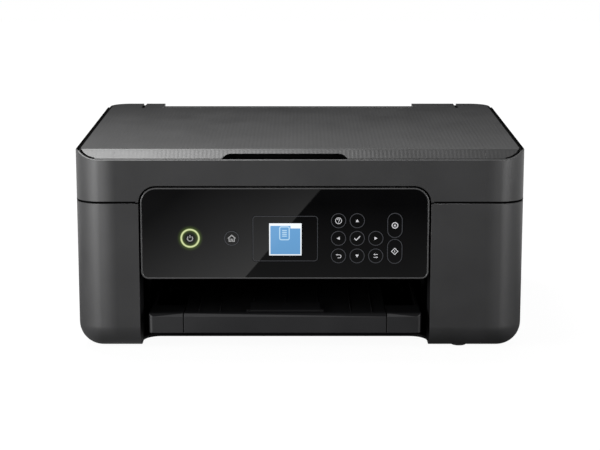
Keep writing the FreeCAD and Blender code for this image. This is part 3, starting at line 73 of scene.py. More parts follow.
# Node trees: add(kind, input=value or socket, ...) makes a node; an input is named, or numbered as i0, i1.
class NodeDesk:
    def __init__(self, owner):
        owner.use_nodes = True
        self.owner = owner
        self.tree = owner.node_tree
        self.tree.nodes.clear()

    def plug(self, socket, value):
        if isinstance(value, bpy.types.NodeSocket):
            self.tree.links.new(value, socket)
        elif isinstance(value, tuple) and len(value) == 3 and socket.type == "RGBA":
            socket.default_value = (*value, 1)
        else:
            socket.default_value = value

    def add(self, kind, *settings, **inputs):
        node = self.tree.nodes.new(kind)
        for name, value in settings:
            setattr(node, name, value)
        for key, value in inputs.items():
            numbered = key[0] == "i" and key[1:].isdigit()
            self.plug(node.inputs[int(key[1:]) if numbered else key.replace("_", " ")], value)
        return node

    def work(self, kind, operation, values):
        numbered = {f"i{number}": value for number, value in enumerate(values)}
        return self.add(kind, ("operation", operation), **numbered).outputs

    def math(self, operation, *values):
        return self.work("ShaderNodeMath", operation, values)[0]

    def vector(self, operation, *values):
        return self.work("ShaderNodeVectorMath", operation, values)

    def ramp(self, value, low, high, start, end, kind="LINEAR"):
        return self.add("ShaderNodeMapRange", ("interpolation_type", kind), i0=value, i1=low, i2=high,
                        i3=start, i4=end).outputs[0]

    def noise(self, place, scale, detail=2.0, rough=0.5):
        return self.add("ShaderNodeTexNoise", Vector=place, Scale=scale, Detail=detail,
                        Roughness=rough).outputs["Fac"]

    # Noise keeps mostly between 0.3 and 0.7: that span drawn out from start to end.
    def fromNoise(self, noise, start, end):
        return self.ramp(noise, 0.3, 0.7, start, end)

    def tint(self, share, first, second):
        return self.add("ShaderNodeMix", ("data_type", "RGBA"), i0=share, i6=first, i7=second).outputs[2]

    def place(self):
        return self.add("ShaderNodeTexCoord").outputs["Object"]

    def split(self, place):
        return self.add("ShaderNodeSeparateXYZ", Vector=place).outputs

    def stretched(self, place, scale):
        return self.add("ShaderNodeMapping", Vector=place, Scale=scale).outputs[0]

    def show(self, shader):
        self.add("ShaderNodeOutputMaterial", Surface=shader.outputs[0])
        return self.owner


# A colour as a screen shows it, made linear.
def fromScreen(*values):
    shares = np.array(values) / 255
    linear = np.where(shares <= 0.04045, shares / 12.92, ((shares + 0.055) / 1.055) ** 2.4)
    return tuple(float(value) for value in linear)


# A colour times a factor, and lifted towards white.
def shaded(colour, factor, lift=0.0):
    return tuple(min(1.0, value * factor + lift) for value in colour)


# Moulded plastic: a speckle of pits as bump, cloudy roughness, and edges that are rounded, rubbed and paler.
# A crown is a start and end across the width and the fall between them, where a case rounds off at its sides.
plainPlastic = {"colour": (0.025, 0.025, 0.0258), "rough": 0.46, "roughSpread": 0.03, "ior": 1.5,
                "grainScale": 2600, "grainDetail": (3.0, 0.6), "grainDepth": 0.00012, "grainStrength": 0.25,
                "cloudScale": 26, "cloudDetail": (4.0, 0.55), "cloudSpan": (0.25, 0.75), "mottle": 0.1,
                "edge": 0.0006, "rub": 0.35, "rubTurn": (0.995, 0.8), "rubLeast": 0.4,
                "rubColour": (1.5, 0.012), "rubShine": 0.12, "crown": None, "crownLevel": (0.35, 0.75)}


def mouldedPlastic(name, **changes):
    look = {**plainPlastic, **changes}
    desk = NodeDesk(bpy.data.materials.new(name))
    place = desk.place()
    grain = desk.noise(place, look["grainScale"], *look["grainDetail"])
    cloud = desk.noise(place, look["cloudScale"], *look["cloudDetail"])
    flat = desk.add("ShaderNodeNewGeometry").outputs["Normal"]
    rounded = desk.add("ShaderNodeBevel", ("samples", 4), Radius=look["edge"]).outputs[0]
    if look["crown"]:
        start, end, fall = look["crown"]
        aside = desk.math("ABSOLUTE", desk.split(place)[0])
        crown = desk.ramp(aside, start, end, 0, -fall, "SMOOTHSTEP")
        upright = desk.math("ABSOLUTE", desk.split(flat)[2])
        strength = desk.ramp(upright, *look["crownLevel"], 1, 0)  # none on level faces
        rounded = desk.add("ShaderNodeBump", Strength=strength, Distance=1.0, Height=crown,
                           Normal=rounded).outputs[0]
    bump = desk.add("ShaderNodeBump", Strength=look["grainStrength"], Distance=look["grainDepth"],
                    Height=grain, Normal=rounded).outputs[0]
    turned = desk.vector("DOT_PRODUCT", rounded, flat)["Value"]
    rubbed = desk.math("MULTIPLY", desk.ramp(turned, *look["rubTurn"], 0, look["rub"]),
                       desk.fromNoise(cloud, look["rubLeast"], 1))
    clouded = desk.tint(desk.fromNoise(cloud, 0, 1), shaded(look["colour"], 1 - look["mottle"]),
                        shaded(look["colour"], 1 + look["mottle"]))
    colour = desk.tint(rubbed, clouded, shaded(look["colour"], *look["rubColour"]))
    smooth, coarse = look["rough"] - look["roughSpread"], look["rough"] + look["roughSpread"]
    rough = desk.math("SUBTRACT", desk.ramp(cloud, *look["cloudSpan"], smooth, coarse),
                      desk.math("MULTIPLY", rubbed, look["rubShine"]))
    return desk.show(desk.add("ShaderNodeBsdfPrincipled", Base_Color=colour, Roughness=rough, Normal=bump,
                              IOR=look["ior"]))


casePlastic = mouldedPlastic("casePlastic", crown=(0.153, 0.1875, 0.0085))
coverPlastic = mouldedPlastic("coverPlastic", colour=(0.012, 0.012, 0.0125), rough=0.4)
trayPlastic = mouldedPlastic("trayPlastic", colour=(0.011, 0.011, 0.012), rough=0.42)
# A deeper black with little shine: painted shade, for the case's inside, the bay and the parts inside.
innerPaintedShade = mouldedPlastic("innerPaintedShade", colour=(0.004, 0.004, 0.0045), rough=0.6, ior=1.2, rub=0.05)
# A near-black that hardly reflects: painted shade in gaps, slots and hollows.
paintedShadeBlack = mouldedPlastic("paintedShadeBlack", colour=(0.003, 0.003, 0.003), rough=0.7, ior=1.03, rub=0.0)
# A paler, smoother plastic for the panel's rim and bead: its paleness is painted highlight.
rimPlasticPaintedHighlight = mouldedPlastic("rimPlasticPaintedHighlight", colour=(0.06, 0.06, 0.061), rough=0.32)
supplyPlastic = mouldedPlastic("supplyPlastic", colour=(0.015, 0.015, 0.015), grainScale=1400)
nylonWhite = mouldedPlastic("nylonWhite", colour=(0.72, 0.71, 0.66), rough=0.38, rub=0.1)
inkBlack = mouldedPlastic("inkBlack", colour=(0.02, 0.02, 0.02), rough=0.36)
inkCyan = mouldedPlastic("inkCyan", colour=(0.02, 0.28, 0.56), rough=0.36)
inkMagenta = mouldedPlastic("inkMagenta", colour=(0.56, 0.03, 0.23), rough=0.36)
inkYellow = mouldedPlastic("inkYellow", colour=(0.78, 0.56, 0.02), rough=0.36)
softRubber = mouldedPlastic("softRubber", colour=(0.01, 0.01, 0.01), rough=0.72, grainScale=900, rub=0.2)
gritRoller = mouldedPlastic("gritRoller", colour=(0.1, 0.1, 0.1), rough=0.62, grainScale=1800,
                            grainDepth=0.0002, grainStrength=0.6)
foamWhite = mouldedPlastic("foamWhite", colour=(0.78, 0.78, 0.77), rough=0.6, grainScale=700, mottle=0.02,
                           rub=0.0)

# Power ring: how far a point lies from the middle of the ring's width, seen from the front.
ring = {"halfWidth": 0.9}
ringLow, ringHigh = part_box("power_ring")
ringCentre = tuple((ringLow + ringHigh) / 2)
ringRadius = (ringHigh.x - ringLow.x) / 2 - ring["halfWidth"] * mm


def fromRing(desk):
    offset = desk.vector("SUBTRACT", desk.place(), ringCentre)["Vector"]
    away = desk.vector("LENGTH", desk.vector("MULTIPLY", offset, (1, 0, 1))["Vector"])["Value"]
    return desk.math("ABSOLUTE", desk.math("SUBTRACT", away, ringRadius))


# Piano black: a mirror-smooth lacquer with a haze of fine wipe marks, and light leaking round the power ring.
def pianoBlack(name, look):
    desk = NodeDesk(bpy.data.materials.new(name))
    place = desk.place()
    haze = desk.noise(place, *look["haze"])
    wipes = desk.noise(desk.stretched(place, look["wipeScale"]), 1.0)
    rough = desk.math("ADD", desk.ramp(haze, *look["hazeSpan"], *look["rough"]),
                      desk.ramp(wipes, *look["wipeSpan"], 0, look["wipeRough"]))
    pale = shaded(look["colour"], look["paleness"])
    colour = desk.tint(desk.ramp(haze, *look["paleSpan"], 0, 1), look["colour"], pale)
    leak = desk.math("POWER", desk.ramp(fromRing(desk), 0, look["leakReach"], 1, 0), look["leakFall"])
    return desk.show(desk.add("ShaderNodeBsdfPrincipled", Base_Color=colour, Roughness=rough,
                              IOR=look["ior"], Emission_Color=look["leakColour"],
                              Emission_Strength=desk.math("MULTIPLY", leak, look["leakStrength"])))


lacquer = {"colour": (0.0025, 0.0025, 0.0027), "ior": 1.49, "haze": (18, 5.0, 0.6), "hazeSpan": (0.3, 0.75),
           "rough": (0.012, 0.027), "paleness": 1.6, "paleSpan": (0.3, 0.8), "wipeScale": (90, 90, 900),
           "wipeSpan": (0.55, 0.8), "wipeRough": 0.01, "leakReach": 4.2 * mm, "leakFall": 2.0,
           "leakStrength": 0.16, "leakColour": (0.45, 0.75, 0.1)}
fasciaBlack = pianoBlack("fasciaBlack", lacquer)


# Ground steel: fine lines round a bar that lies across the printer, as stretched noise in roughness and bump.
def groundSteel(name, look):
    desk = NodeDesk(bpy.data.materials.new(name))
    place = desk.place()
    lines = desk.noise(desk.stretched(place, look["stretch"]), *look["lines"])
    cloud = desk.noise(place, *look["cloud"])
    bump = desk.add("ShaderNodeBump", Strength=look["lineStrength"], Distance=look["lineDepth"],
                    Height=lines).outputs[0]
    rough = desk.math("ADD", desk.fromNoise(lines, *look["rough"]),
                      desk.ramp(cloud, *look["cloudSpan"], 0, look["cloudRough"]))
    colour = desk.tint(desk.fromNoise(cloud, 0, 1), shaded(look["colour"], look["dimness"]), look["colour"])
    return desk.show(desk.add("ShaderNodeBsdfPrincipled", Base_Color=colour, Metallic=1.0, Roughness=rough,
                              Normal=bump))


steel = {"colour": (0.62, 0.62, 0.61), "dimness": 0.92, "rough": (0.2, 0.32), "stretch": (3000, 90, 90),
         "lines": (1.0, 4.0, 0.6), "lineStrength": 0.15, "lineDepth": 0.00005, "cloud": (40, 3.0),
         "cloudSpan": (0.4, 0.8), "cloudRough": 0.06}
brightSteel = groundSteel("brightSteel", steel)


# Circuit board: green mask over copper runs, as a grid of lines, with pale pads strewn over it.
def circuitBoard(name, look):
    desk = NodeDesk(bpy.data.materials.new(name))
    place = desk.place()
    cells = desk.add("ShaderNodeTexVoronoi", ("distance", "MANHATTAN"), ("feature", "F1"), Vector=place,
                     Scale=look["padScale"])
    runs = desk.add("ShaderNodeTexBrick", Vector=place, Scale=look["runScale"], Mortar_Size=look["runWidth"],
                    Color1=(1, 1, 1), Color2=(1, 1, 1), Mortar=(0, 0, 0))
    mask = desk.tint(runs.outputs["Color"], shaded(look["colour"], look["runPaleness"]), look["colour"])
    pads = desk.ramp(cells.outputs["Distance"], *look["padEdge"], 1, 0)
    colour = desk.tint(pads, mask, look["padColour"])
    rough = desk.fromNoise(desk.noise(place, look["cloudScale"]), *look["rough"])
    return desk.show(desk.add("ShaderNodeBsdfPrincipled", Base_Color=colour, Roughness=rough))


board = {"colour": (0.012, 0.1, 0.035), "rough": (0.28, 0.4), "cloudScale": 60, "runScale": 110,
         "runWidth": 0.02, "runPaleness": 1.7, "padScale": 260, "padEdge": (0.1, 0.13),
         "padColour": (0.5, 0.47, 0.38)}
boardGreen = circuitBoard("boardGreen", board)


# Float glass: clear, a trace of green, with a little dust in its roughness.
def floatGlass(name, look):
    desk = NodeDesk(bpy.data.materials.new(name))
    dust = desk.noise(desk.place(), *look["dust"])
    rough = desk.ramp(dust, *look["dustSpan"], 0, look["dustRough"])
    return desk.show(desk.add("ShaderNodeBsdfPrincipled", Base_Color=look["colour"], Roughness=rough,
                              Transmission_Weight=1.0, IOR=look["ior"]))


glass = {"colour": (0.86, 0.93, 0.9), "ior": 1.5, "dust": (160, 4.0, 0.7), "dustSpan": (0.55, 0.8),
         "dustRough": 0.05}
clearGlass = floatGlass("clearGlass", glass)


# Light guide: a milky lit ring, brighter along the middle of its width.
def litGuide(name, look):
    desk = NodeDesk(bpy.data.materials.new(name))
    speckle = desk.fromNoise(desk.noise(desk.place(), look["speckleScale"]), *look["speckle"])
    fall = desk.ramp(fromRing(desk), 0, look["halfWidth"], look["strength"], 0)
    return desk.show(desk.add("ShaderNodeBsdfPrincipled", Base_Color=shaded(look["colour"], look["unlit"]),
                              Roughness=look["rough"], Emission_Color=look["colour"],
                              Emission_Strength=desk.math("MULTIPLY", fall, speckle)))


guide = {"colour": (0.6, 0.68, 0.34), "unlit": 0.2, "rough": 0.3, "strength": 1.15, "halfWidth": 1.1 * mm,
         "speckleScale": 900, "speckle": (0.94, 1.05)}
ringLight = litGuide("ringLight", guide)

finishes = {"case_plastic": casePlastic, "cover_plastic": coverPlastic, "fascia_gloss": fasciaBlack,
            "inner_plastic": innerPaintedShade, "tray_plastic": trayPlastic, "screen": fasciaBlack,
            "ring_light": ringLight, "rubber": softRubber, "steel": brightSteel, "roller_grey": gritRoller,
            "white_nylon": nylonWhite, "board_green": boardGreen, "supply_case": supplyPlastic,
            "clear_glass": clearGlass, "white_foam": foamWhite, "ink_k": inkBlack, "ink_c": inkCyan,
            "ink_m": inkMagenta, "ink_y": inkYellow}

# CAD nodes: their loose triangles are welded and smoothed up to sharp edges; each takes its slot's finish.
edges = {"weld": 0.000002, "angle": 28}

for part in frame["record"]["subparts"]:
    item = nodes[part["node"]]
    item.data.materials.clear()
    item.data.materials.append(finishes[part["material_slot"]])
    item.data.polygons.foreach_set("use_smooth", np.ones(len(item.data.polygons), bool))
    item.modifiers.new("weld", "WELD").merge_threshold = edges["weld"]
    item.modifiers.new("edges", "EDGE_SPLIT").split_angle = math.radians(edges["angle"])
    item.modifiers.new("flats", "WEIGHTED_NORMAL")  # wide faces stay flat beside their rounded edges
# The panel housing takes the paler rim plastic, painted highlight along its rim.
nodes["panel_housing"].data.materials[0] = rimPlasticPaintedHighlight
print("finishes:", len(finishes))

# Pieces are worked out in millimetres and made in metres. A lift is the way that a piece rises from its face.
upward, frontward, rearward = (0, 0, 1), (0, -1, 0), (0, 1, 0)


# A node's box in millimetres, as its low and high corners.
def boxOf(name):
    return [np.array(corner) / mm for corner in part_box(name)]


# A surface from a grid of points: rows and columns joined by quads, and closed on themselves where asked.
def gridSurface(points, closeRows=False, closeColumns=False):
    rows, columns = points.shape[:2]
    index = np.arange(rows * columns).reshape(rows, columns)
    if closeRows:
        index = np.concatenate([index, index[:1]], 0)
    if closeColumns:
        index = np.concatenate([index, index[:, :1]], 1)
    quads = np.stack([index[:-1, :-1], index[:-1, 1:], index[1:, 1:], index[1:, :-1]], -1).reshape(-1, 4)
    return points.reshape(-1, 3), quads


# Several surfaces as one: their points in a row, and each one's quads counted on from where its points start.
def joinSurfaces(surfaces):
    starts = np.cumsum([0] + [len(points) for points, _ in surfaces[:-1]])
    points = np.concatenate([points for points, _ in surfaces])
    quads = np.concatenate([quads + start for (_, quads), start in zip(surfaces, starts)])
    return points, quads


# A piece from a surface: points that coincide are merged, and quads that fold are made triangles or dropped.
def makePiece(name, surface, material, body, smooth=True):
    points, quads = surface
    unique, where = np.unique(np.round(points * mm, 7), axis=0, return_inverse=True)
    quads = where.reshape(-1)[quads]
    following = np.roll(quads, -1, axis=1)
    kept = [tuple(corner for corner, after in zip(quad, nextOnes) if corner != after)
            for quad, nextOnes in zip(quads.tolist(), following.tolist())]
    mesh = bpy.data.meshes.new(name)
    mesh.from_pydata(unique.tolist(), [], [face for face in kept if len(set(face)) > 2])
    mesh.polygons.foreach_set("use_smooth", np.full(len(mesh.polygons), smooth))
    mesh.materials.append(material)
    mesh.update()
    piece = bpy.data.objects.new(name, mesh)
    bpy.context.collection.objects.link(piece)
    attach(piece, body)
    return piece


# A profile carried along a path. Across is the cross product of the path's direction and the lift, and a
# profile's points are (across, lift), up on one side, over, and down on the other. A bend widens it as a
# mitre does, to twice at most, and open ends close on their middle.
def sweepSurface(path, profile, lift, closed=False):
    path, profile, lift = (np.asarray(item, float) for item in (path, profile, lift))
    step = np.linalg.norm(path - np.roll(path, 1, 0), axis=1)
    kept = step > 0.000001
    kept[0] = kept[0] or not closed
    path = path[kept]
    before = np.roll(path, 1, 0) if closed else np.concatenate([2 * path[:1] - path[1:2], path[:-1]])
    after = np.roll(path, -1, 0) if closed else np.concatenate([path[1:], 2 * path[-1:] - path[-2:-1]])
    inward, outward = path - before, after - path
    inward /= np.linalg.norm(inward, axis=1, keepdims=True)
    outward /= np.linalg.norm(outward, axis=1, keepdims=True)
    along = inward + outward
    along /= np.linalg.norm(along, axis=1, keepdims=True)
    across = np.cross(along, lift) / np.clip((along * outward).sum(1), 0.5, 1)[:, None]
    grid = path[:, None] + across[:, None] * profile[None, :, :1] + lift * profile[None, :, 1:]
    if not closed:
        grid = np.concatenate([grid[:1].mean(1, keepdims=True).repeat(len(profile), 1), grid,
                               grid[-1:].mean(1, keepdims=True).repeat(len(profile), 1)])
    return gridSurface(grid, closeRows=closed, closeColumns=True)


# The same profile along several open paths, as one surface.
def sweepRuns(paths, profile, lift):
    return joinSurfaces([sweepSurface(path, profile, lift) for path in paths])


# A rectangle about the path, from a low to a high level.
def barProfile(width, low, high):
    return [(-width / 2, low), (-width / 2, high), (width / 2, high), (width / 2, low)]


# Half a circle over the path, from the near side to the far side.
def roundProfile(radius, steps=9):
    angle = np.linspace(np.pi, 0, steps)
    return np.column_stack([np.cos(angle), np.sin(angle)]) * radius


# Points of (x, z) on an upright face at y, and points of (x, y) on a level face at z.
def atDepth(path, y):
    path = np.asarray(path, float)
    return np.column_stack([path[:, 0], np.full(len(path), y), path[:, 1]])


def atLevel(path, z):
    path = np.asarray(path, float)
    return np.column_stack([path, np.full(len(path), z)])


# A printed stroke: a flat bar carried along a path of (x, z) points on a face looking to the front.
def strokeSurface(path, width, faceY, height, closed=False):
    return sweepSurface(atDepth(path, faceY), barProfile(width, 0, height), frontward, closed)


# A printed patch: an outline filled towards its middle above and below, with a thin wall between. Its points
# are (x, z) on a face looking to the front, or (x, y) on one looking up, and are put in anticlockwise order.
def patchSurface(outline, face, height, lift=frontward):
    outline = np.asarray(outline, float)
    following = np.roll(outline, -1, 0)
    if (outline[:, 0] * following[:, 1] - outline[:, 1] * following[:, 0]).sum() < 0:
        outline = outline[::-1]
    middle = np.broadcast_to(outline.mean(0), outline.shape)
    rings = [(middle, 0), (outline, 0), (outline, height), (middle, height)]
    onFace = atLevel if lift == upward else atDepth
    grid = np.stack([onFace(ring, face) + rise * np.array(lift) for ring, rise in rings])
    return gridSurface(grid, closeColumns=True)


# A turned form: the radii and heights of a profile carried round a circle about the lift.
def turnedSurface(centre, profile, lift, steps=20):
    across, lift = np.array([1.0, 0, 0]), np.asarray(lift, float)
    angle = np.linspace(0, 2 * np.pi, steps, endpoint=False)
    circle = np.cos(angle)[:, None] * across + np.sin(angle)[:, None] * np.cross(lift, across)
    radius, height = np.array(profile, float).T[:, :, None, None]
    return gridSurface(np.array(centre) + radius * circle + height * lift, closeColumns=True)


# Points that straight lines join.
def straight(*points):
    return np.array(points, float)


# Points along an arc, from one angle to another in degrees, anticlockwise from the first axis.
def arcPath(centre, radius, start, end, steps=24):
    angle = np.radians(np.linspace(start, end, steps))
    return np.column_stack([centre[0] + radius * np.cos(angle), centre[1] + radius * np.sin(angle)])


# A rounded rectangle: four corner arcs in turn from the upper right, of one radius or of four.
def roundedOutline(low, high, radius, steps=8):
    signs = np.array([(1, 1), (-1, 1), (-1, -1), (1, -1)])
    arcs = []
    for turn, (sign, size) in enumerate(zip(signs, np.broadcast_to(radius, 4))):
        centre = np.where(sign > 0, high, low) - sign * size
        arcs.append(arcPath(centre, size, 90 * turn, 90 * turn + 90, steps))
    return np.concatenate(arcs)


# Printed ink on the panel: a near-white or grey ink with a slightly uneven cover, and a painted glow that
# lifts it.
ink = {"speckleScale": 2400, "thin": 0.9, "rough": (0.3, 0.42)}


def printedInk(name, colour, glow):
    desk = NodeDesk(bpy.data.materials.new(name))
    speckle = desk.noise(desk.place(), ink["speckleScale"])
    cover = desk.tint(desk.fromNoise(speckle, 0, 1), shaded(colour, ink["thin"]), colour)
    return desk.show(desk.add("ShaderNodeBsdfPrincipled", Base_Color=cover,
                              Roughness=desk.fromNoise(speckle, *ink["rough"]), Emission_Color=colour,
                              Emission_Strength=glow))


markWhite = printedInk("markWhite", (0.66, 0.66, 0.68), 0.22)
markGrey = printedInk("markGrey", (0.36, 0.36, 0.36), 0.12)
# The grey draws the pale lines round the buttons, painted highlight on the edges of their gaps, and the line
# round the lens.
outlineGrey = printedInk("outlineGrey", (0.04, 0.041, 0.047), 0.2)

# Button marks, from each button's middle: strokes as (points, width, closed), and patches as outlines.
marks = {"height": 0.03, "outlineWidth": 0.6, "outlineInset": 0.3, "apart": 0.001}
circle = arcPath((0, 0), 1, 0, 352.5, 48)
triangle = straight((0, 1.45), (-1.4, -1.1), (1.4, -1.1))
turnedLeft = np.column_stack([-triangle[:, 1], triangle[:, 0]])
hook = np.concatenate([arcPath((0, 0.65), 0.95, 175, -60, 14), straight((0.1, -0.35), (0.0, -0.75))])
returning = np.concatenate([straight((-1.6, 0.95), (0.9, 0.95)), arcPath((0.9, -0.35), 1.3, 88, -90),
                            straight((-0.6, -1.65))])
doorAndLeftWall = straight((-2.15, 0.2), (-2.15, -2.5), (-0.6, -2.5), (-0.6, -0.7), (0.7, -0.7))
rightWall = straight((2.15, 0.2), (2.15, -2.5), (0.7, -2.5), (0.7, -0.7))
buttonMarks = {
    "button_power": {"ink": markGrey, "strokes": [(arcPath((0, -0.15), 2.15, 130, 410), 0.85, False),
                                                  (straight((0, 0.3), (0, 2.75)), 0.8, False)]},
    "button_home": {"ink": markGrey, "strokes": [(straight((-3.1, -0.1), (0, 2.6), (3.1, -0.1)), 0.95, False),
                                                 (doorAndLeftWall, 0.8, False), (rightWall, 0.8, False)]},
    "button_help": {"ink": markWhite, "strokes": [(circle * 2.5, 0.5, True), (hook, 0.45, False)],
                    "patches": [circle[::4] * 0.3 + (0, -1.4)]},
    "button_up": {"ink": markWhite, "patches": [triangle]},
    "button_left": {"ink": markWhite, "patches": [turnedLeft]},
    "button_ok": {"ink": markWhite,
                  "strokes": [(straight((-2.3, 0.1), (-0.75, -1.55), (2.45, 1.85)), 0.8, False)]},
    "button_right": {"ink": markWhite, "patches": [turnedLeft * (-1, 1)]},
    "button_back": {"ink": markWhite, "strokes": [(returning, 0.5, False)],
                    "patches": [straight((-2.1, 0.95), (-0.95, 1.8), (-0.95, 0.1))]},
    "button_down": {"ink": markWhite, "patches": [triangle * (1, -1)]},
    "button_settings": {"ink": markWhite,
                        "strokes": [(straight((-1.0, 1.2), (1.8, 1.2)), 0.5, False),
                                    (straight((1.0, -1.2), (-1.8, -1.2)), 0.5, False)],
                        "patches": [straight((-1.9, 1.2), (-0.6, 2.0), (-0.6, 0.4)),
                                    straight((1.9, -1.2), (0.6, -0.4), (0.6, -2.0))]},
    "button_stop": {"ink": markWhite, "strokes": [(circle * 2.35, 0.7, True)],
                    "patches": [straight((0, 1.15), (-1.15, -0.75), (1.15, -0.75))]},
    "button_start": {"ink": markWhite,
                     "strokes": [(straight((0, 2.7), (-2.7, 0), (0, -2.7), (2.7, 0)), 0.55, True),
                                 (straight((0, 1.0), (0, -1.0)), 0.5, False)]},
}


# A button's mark on its face, with a pale line round its edge, painted highlight of its gap, unless a lit
# ring goes round it.
def markButton(node, mark):
    low, high = boxOf(node)
    face, height = low[1], marks["height"]
    middle, half = (low + high)[[0, 2]] / 2, (high - low)[[0, 2]] / 2
    surfaces = [strokeSurface(path + middle, width, face, height, closed)
                for path, width, closed in mark.get("strokes", [])]
    surfaces += [patchSurface(outline + middle, face, height) for outline in mark.get("patches", [])]
    makePiece(f"{node}_mark", joinSurfaces(surfaces), mark["ink"], node, smooth=False)
    if node != "button_power":
        reach = half - marks["outlineInset"]
        outline = roundedOutline(middle - reach, middle + reach, reach[0] - marks["apart"], 14)
        makePiece(f"{node}_outline", strokeSurface(outline, marks["outlineWidth"], face, height, True),
                  outlineGrey, node, smooth=False)


for node, mark in buttonMarks.items():
    markButton(node, mark)
print("button marks:", len(buttonMarks))


# A lit picture: colour from behind with a fine grid of picture dots, under a smooth lens.
picture = {"dots": 18000, "dotGlow": (0.97, 1.03), "heights": (0.082, 0.1094), "glow": (0.94, 1.04),
           "unlit": (0.01, 0.01, 0.01), "rough": 0.08}


def litPicture(name, *screenColour):
    colour = fromScreen(*screenColour)
    desk = NodeDesk(bpy.data.materials.new(name))
    x, _, z = desk.split(desk.place())
    dots = desk.math("MULTIPLY", desk.math("SINE", desk.math("MULTIPLY", x, picture["dots"])),
                     desk.math("SINE", desk.math("MULTIPLY", z, picture["dots"])))
    fall = desk.ramp(z, *picture["heights"], *picture["glow"])
    strength = desk.math("MULTIPLY", desk.ramp(dots, -1, 1, *picture["dotGlow"]), fall)
    return desk.show(desk.add("ShaderNodeBsdfPrincipled", Base_Color=picture["unlit"],
                              Roughness=picture["rough"], Emission_Color=colour, Emission_Strength=strength))


pictureBlue = litPicture("pictureBlue", 101, 158, 208)
pictureWhite = litPicture("pictureWhite", 244, 250, 255)
picturePale = litPicture("picturePale", 183, 217, 241)

# Display: a white ground with a blue field, a tab and a page of lines, in thin layers over one another.
display = {"low": (-25.7, 82.1), "high": (1.3, 109.4), "round": 0.2, "border": 1.0, "bar": 2.1,
           "tab": (9.2, 4.3), "layer": 0.02, "page": ((-16.9, 95.5), (-9.0, 106.4)), "pageRound": 1.3,
           "pageLine": 0.9, "rows": (0.28, 0.72, 4), "rowInset": 2.0, "rowLine": 0.8, "lensInset": 0.5,
           "lensRound": 2.6, "lensLine": 0.5}
lcdLow, lcdHigh = boxOf("lcd_module")
screenFace, layer = lcdLow[1], display["layer"]


# A filled rectangle on the display, as many layers high as asked, and a set of lines on it.
def screenPatch(name, low, high, layers, material):
    patch = patchSurface(roundedOutline(low, high, display["round"], 3), screenFace, layers * layer)
    makePiece(name, patch, material, "control_panel", smooth=False)


def screenLines(name, surfaces, material):
    makePiece(name, joinSurfaces(surfaces), material, "control_panel", smooth=False)


screenLow, screenHigh, border = np.array(display["low"]), np.array(display["high"]), display["border"]
screenPatch("screen_ground", screenLow, screenHigh, 1, pictureWhite)
screenPatch("screen_field", screenLow + border, screenHigh - (border, display["bar"]), 2, pictureBlue)
screenPatch("screen_tab", screenHigh - display["tab"], screenHigh, 3, pictureWhite)
pageLow, pageHigh = (np.array(corner) for corner in display["page"])
pageOutline = roundedOutline(pageLow, pageHigh, display["pageRound"])
pageLines = [strokeSurface(pageOutline, display["pageLine"], screenFace, 3 * layer, True)]
for share in np.linspace(*display["rows"]):
    level = pageLow[1] + share * (pageHigh - pageLow)[1]
    row = straight((pageLow[0] + display["rowInset"], level), (pageHigh[0] - display["rowInset"], level))
    pageLines.append(strokeSurface(row, display["rowLine"], screenFace, 3 * layer))
screenLines("screen_page", pageLines, picturePale)
lensOutline = roundedOutline(lcdLow[[0, 2]] + display["lensInset"], lcdHigh[[0, 2]] - display["lensInset"],
                             display["lensRound"])
screenLines("screen_outline", [strokeSurface(lensOutline, display["lensLine"], screenFace, layer, True)],
            outlineGrey)
print("display pieces: 5")

# Lid skin: fine ridges from front to back, over the bevel, the flat and the rear strip. Its front edge keeps
# to the rounded corners and the finger gap, and a short skirt closes it onto the lid.
coverLow, coverHigh = boxOf("document_cover")
lid = {"side": coverHigh[0] - 0.3, "front": coverLow[1] + 0.3, "rear": coverHigh[1] - 1.1,
       "top": coverHigh[2], "corner": 18.1, "crease": -136.0, "slope": 8.1 / 14, "soft": 1.6, "lift": 0.05,
       "skirt": 0.2, "step": 0.34, "rows": (0, 1, 10), "bevelRows": (0, 0.06, 11), "flatRows": (0.08, 1, 16),
       "pitch": 3.4, "heights": (0.045, 0.1), "rising": (-137.0, -131.0),
       "fading": (126.0, 139.0), "sideFade": 1.5, "frontFade": 1.2, "slot": (150.8, 154.2), "joint": 0.3,
       "strip": (-132.8, 110.0), "stripStart": 117.0, "stripFall": 2.6 / 33, "splitAngle": 35,
       "gap": {"middle": -12.6, "half": 54.65, "high": 166.7, "round": 10.0, "clear": 0.25}}


# How far a rounded corner of the lid stands back at x.
def cornerBack(x):
    inCorner = np.clip(np.abs(x) - (lid["side"] - lid["corner"]), 0, lid["corner"])
    return lid["corner"] - np.sqrt(lid["corner"] ** 2 - inCorner ** 2)


# The front edge at x: the corner arcs, or the line where the bevel meets the top of the finger gap.
def lidFrontEdge(x):
    rounded, gap = lid["front"] + cornerBack(x), lid["gap"]
    beside = np.abs(x - gap["middle"])
    end = np.clip(beside - (gap["half"] - gap["round"]), 0, gap["round"])
    gapTop = gap["high"] - gap["round"] + np.sqrt(gap["round"] ** 2 - end ** 2)
    gapEdge = lid["crease"] + (gapTop - lid["top"]) / lid["slope"] + gap["clear"]
    return np.where(beside < gap["half"], np.maximum(rounded, gapEdge), rounded)


# The height at y: a straight bevel that bends into the flat as a hyperbola does, less the fall of the strip.
def lidHeight(y, onStrip=False):
    bend = (y - lid["crease"]) * lid["slope"]
    flat = 0.5 * (bend - np.sqrt(bend ** 2 + (lid["soft"] * lid["slope"] / 2) ** 2))
    fall = lid["stripFall"] * np.clip(y - lid["stripStart"], 0, None) if onStrip else 0
    return lid["top"] + flat - fall


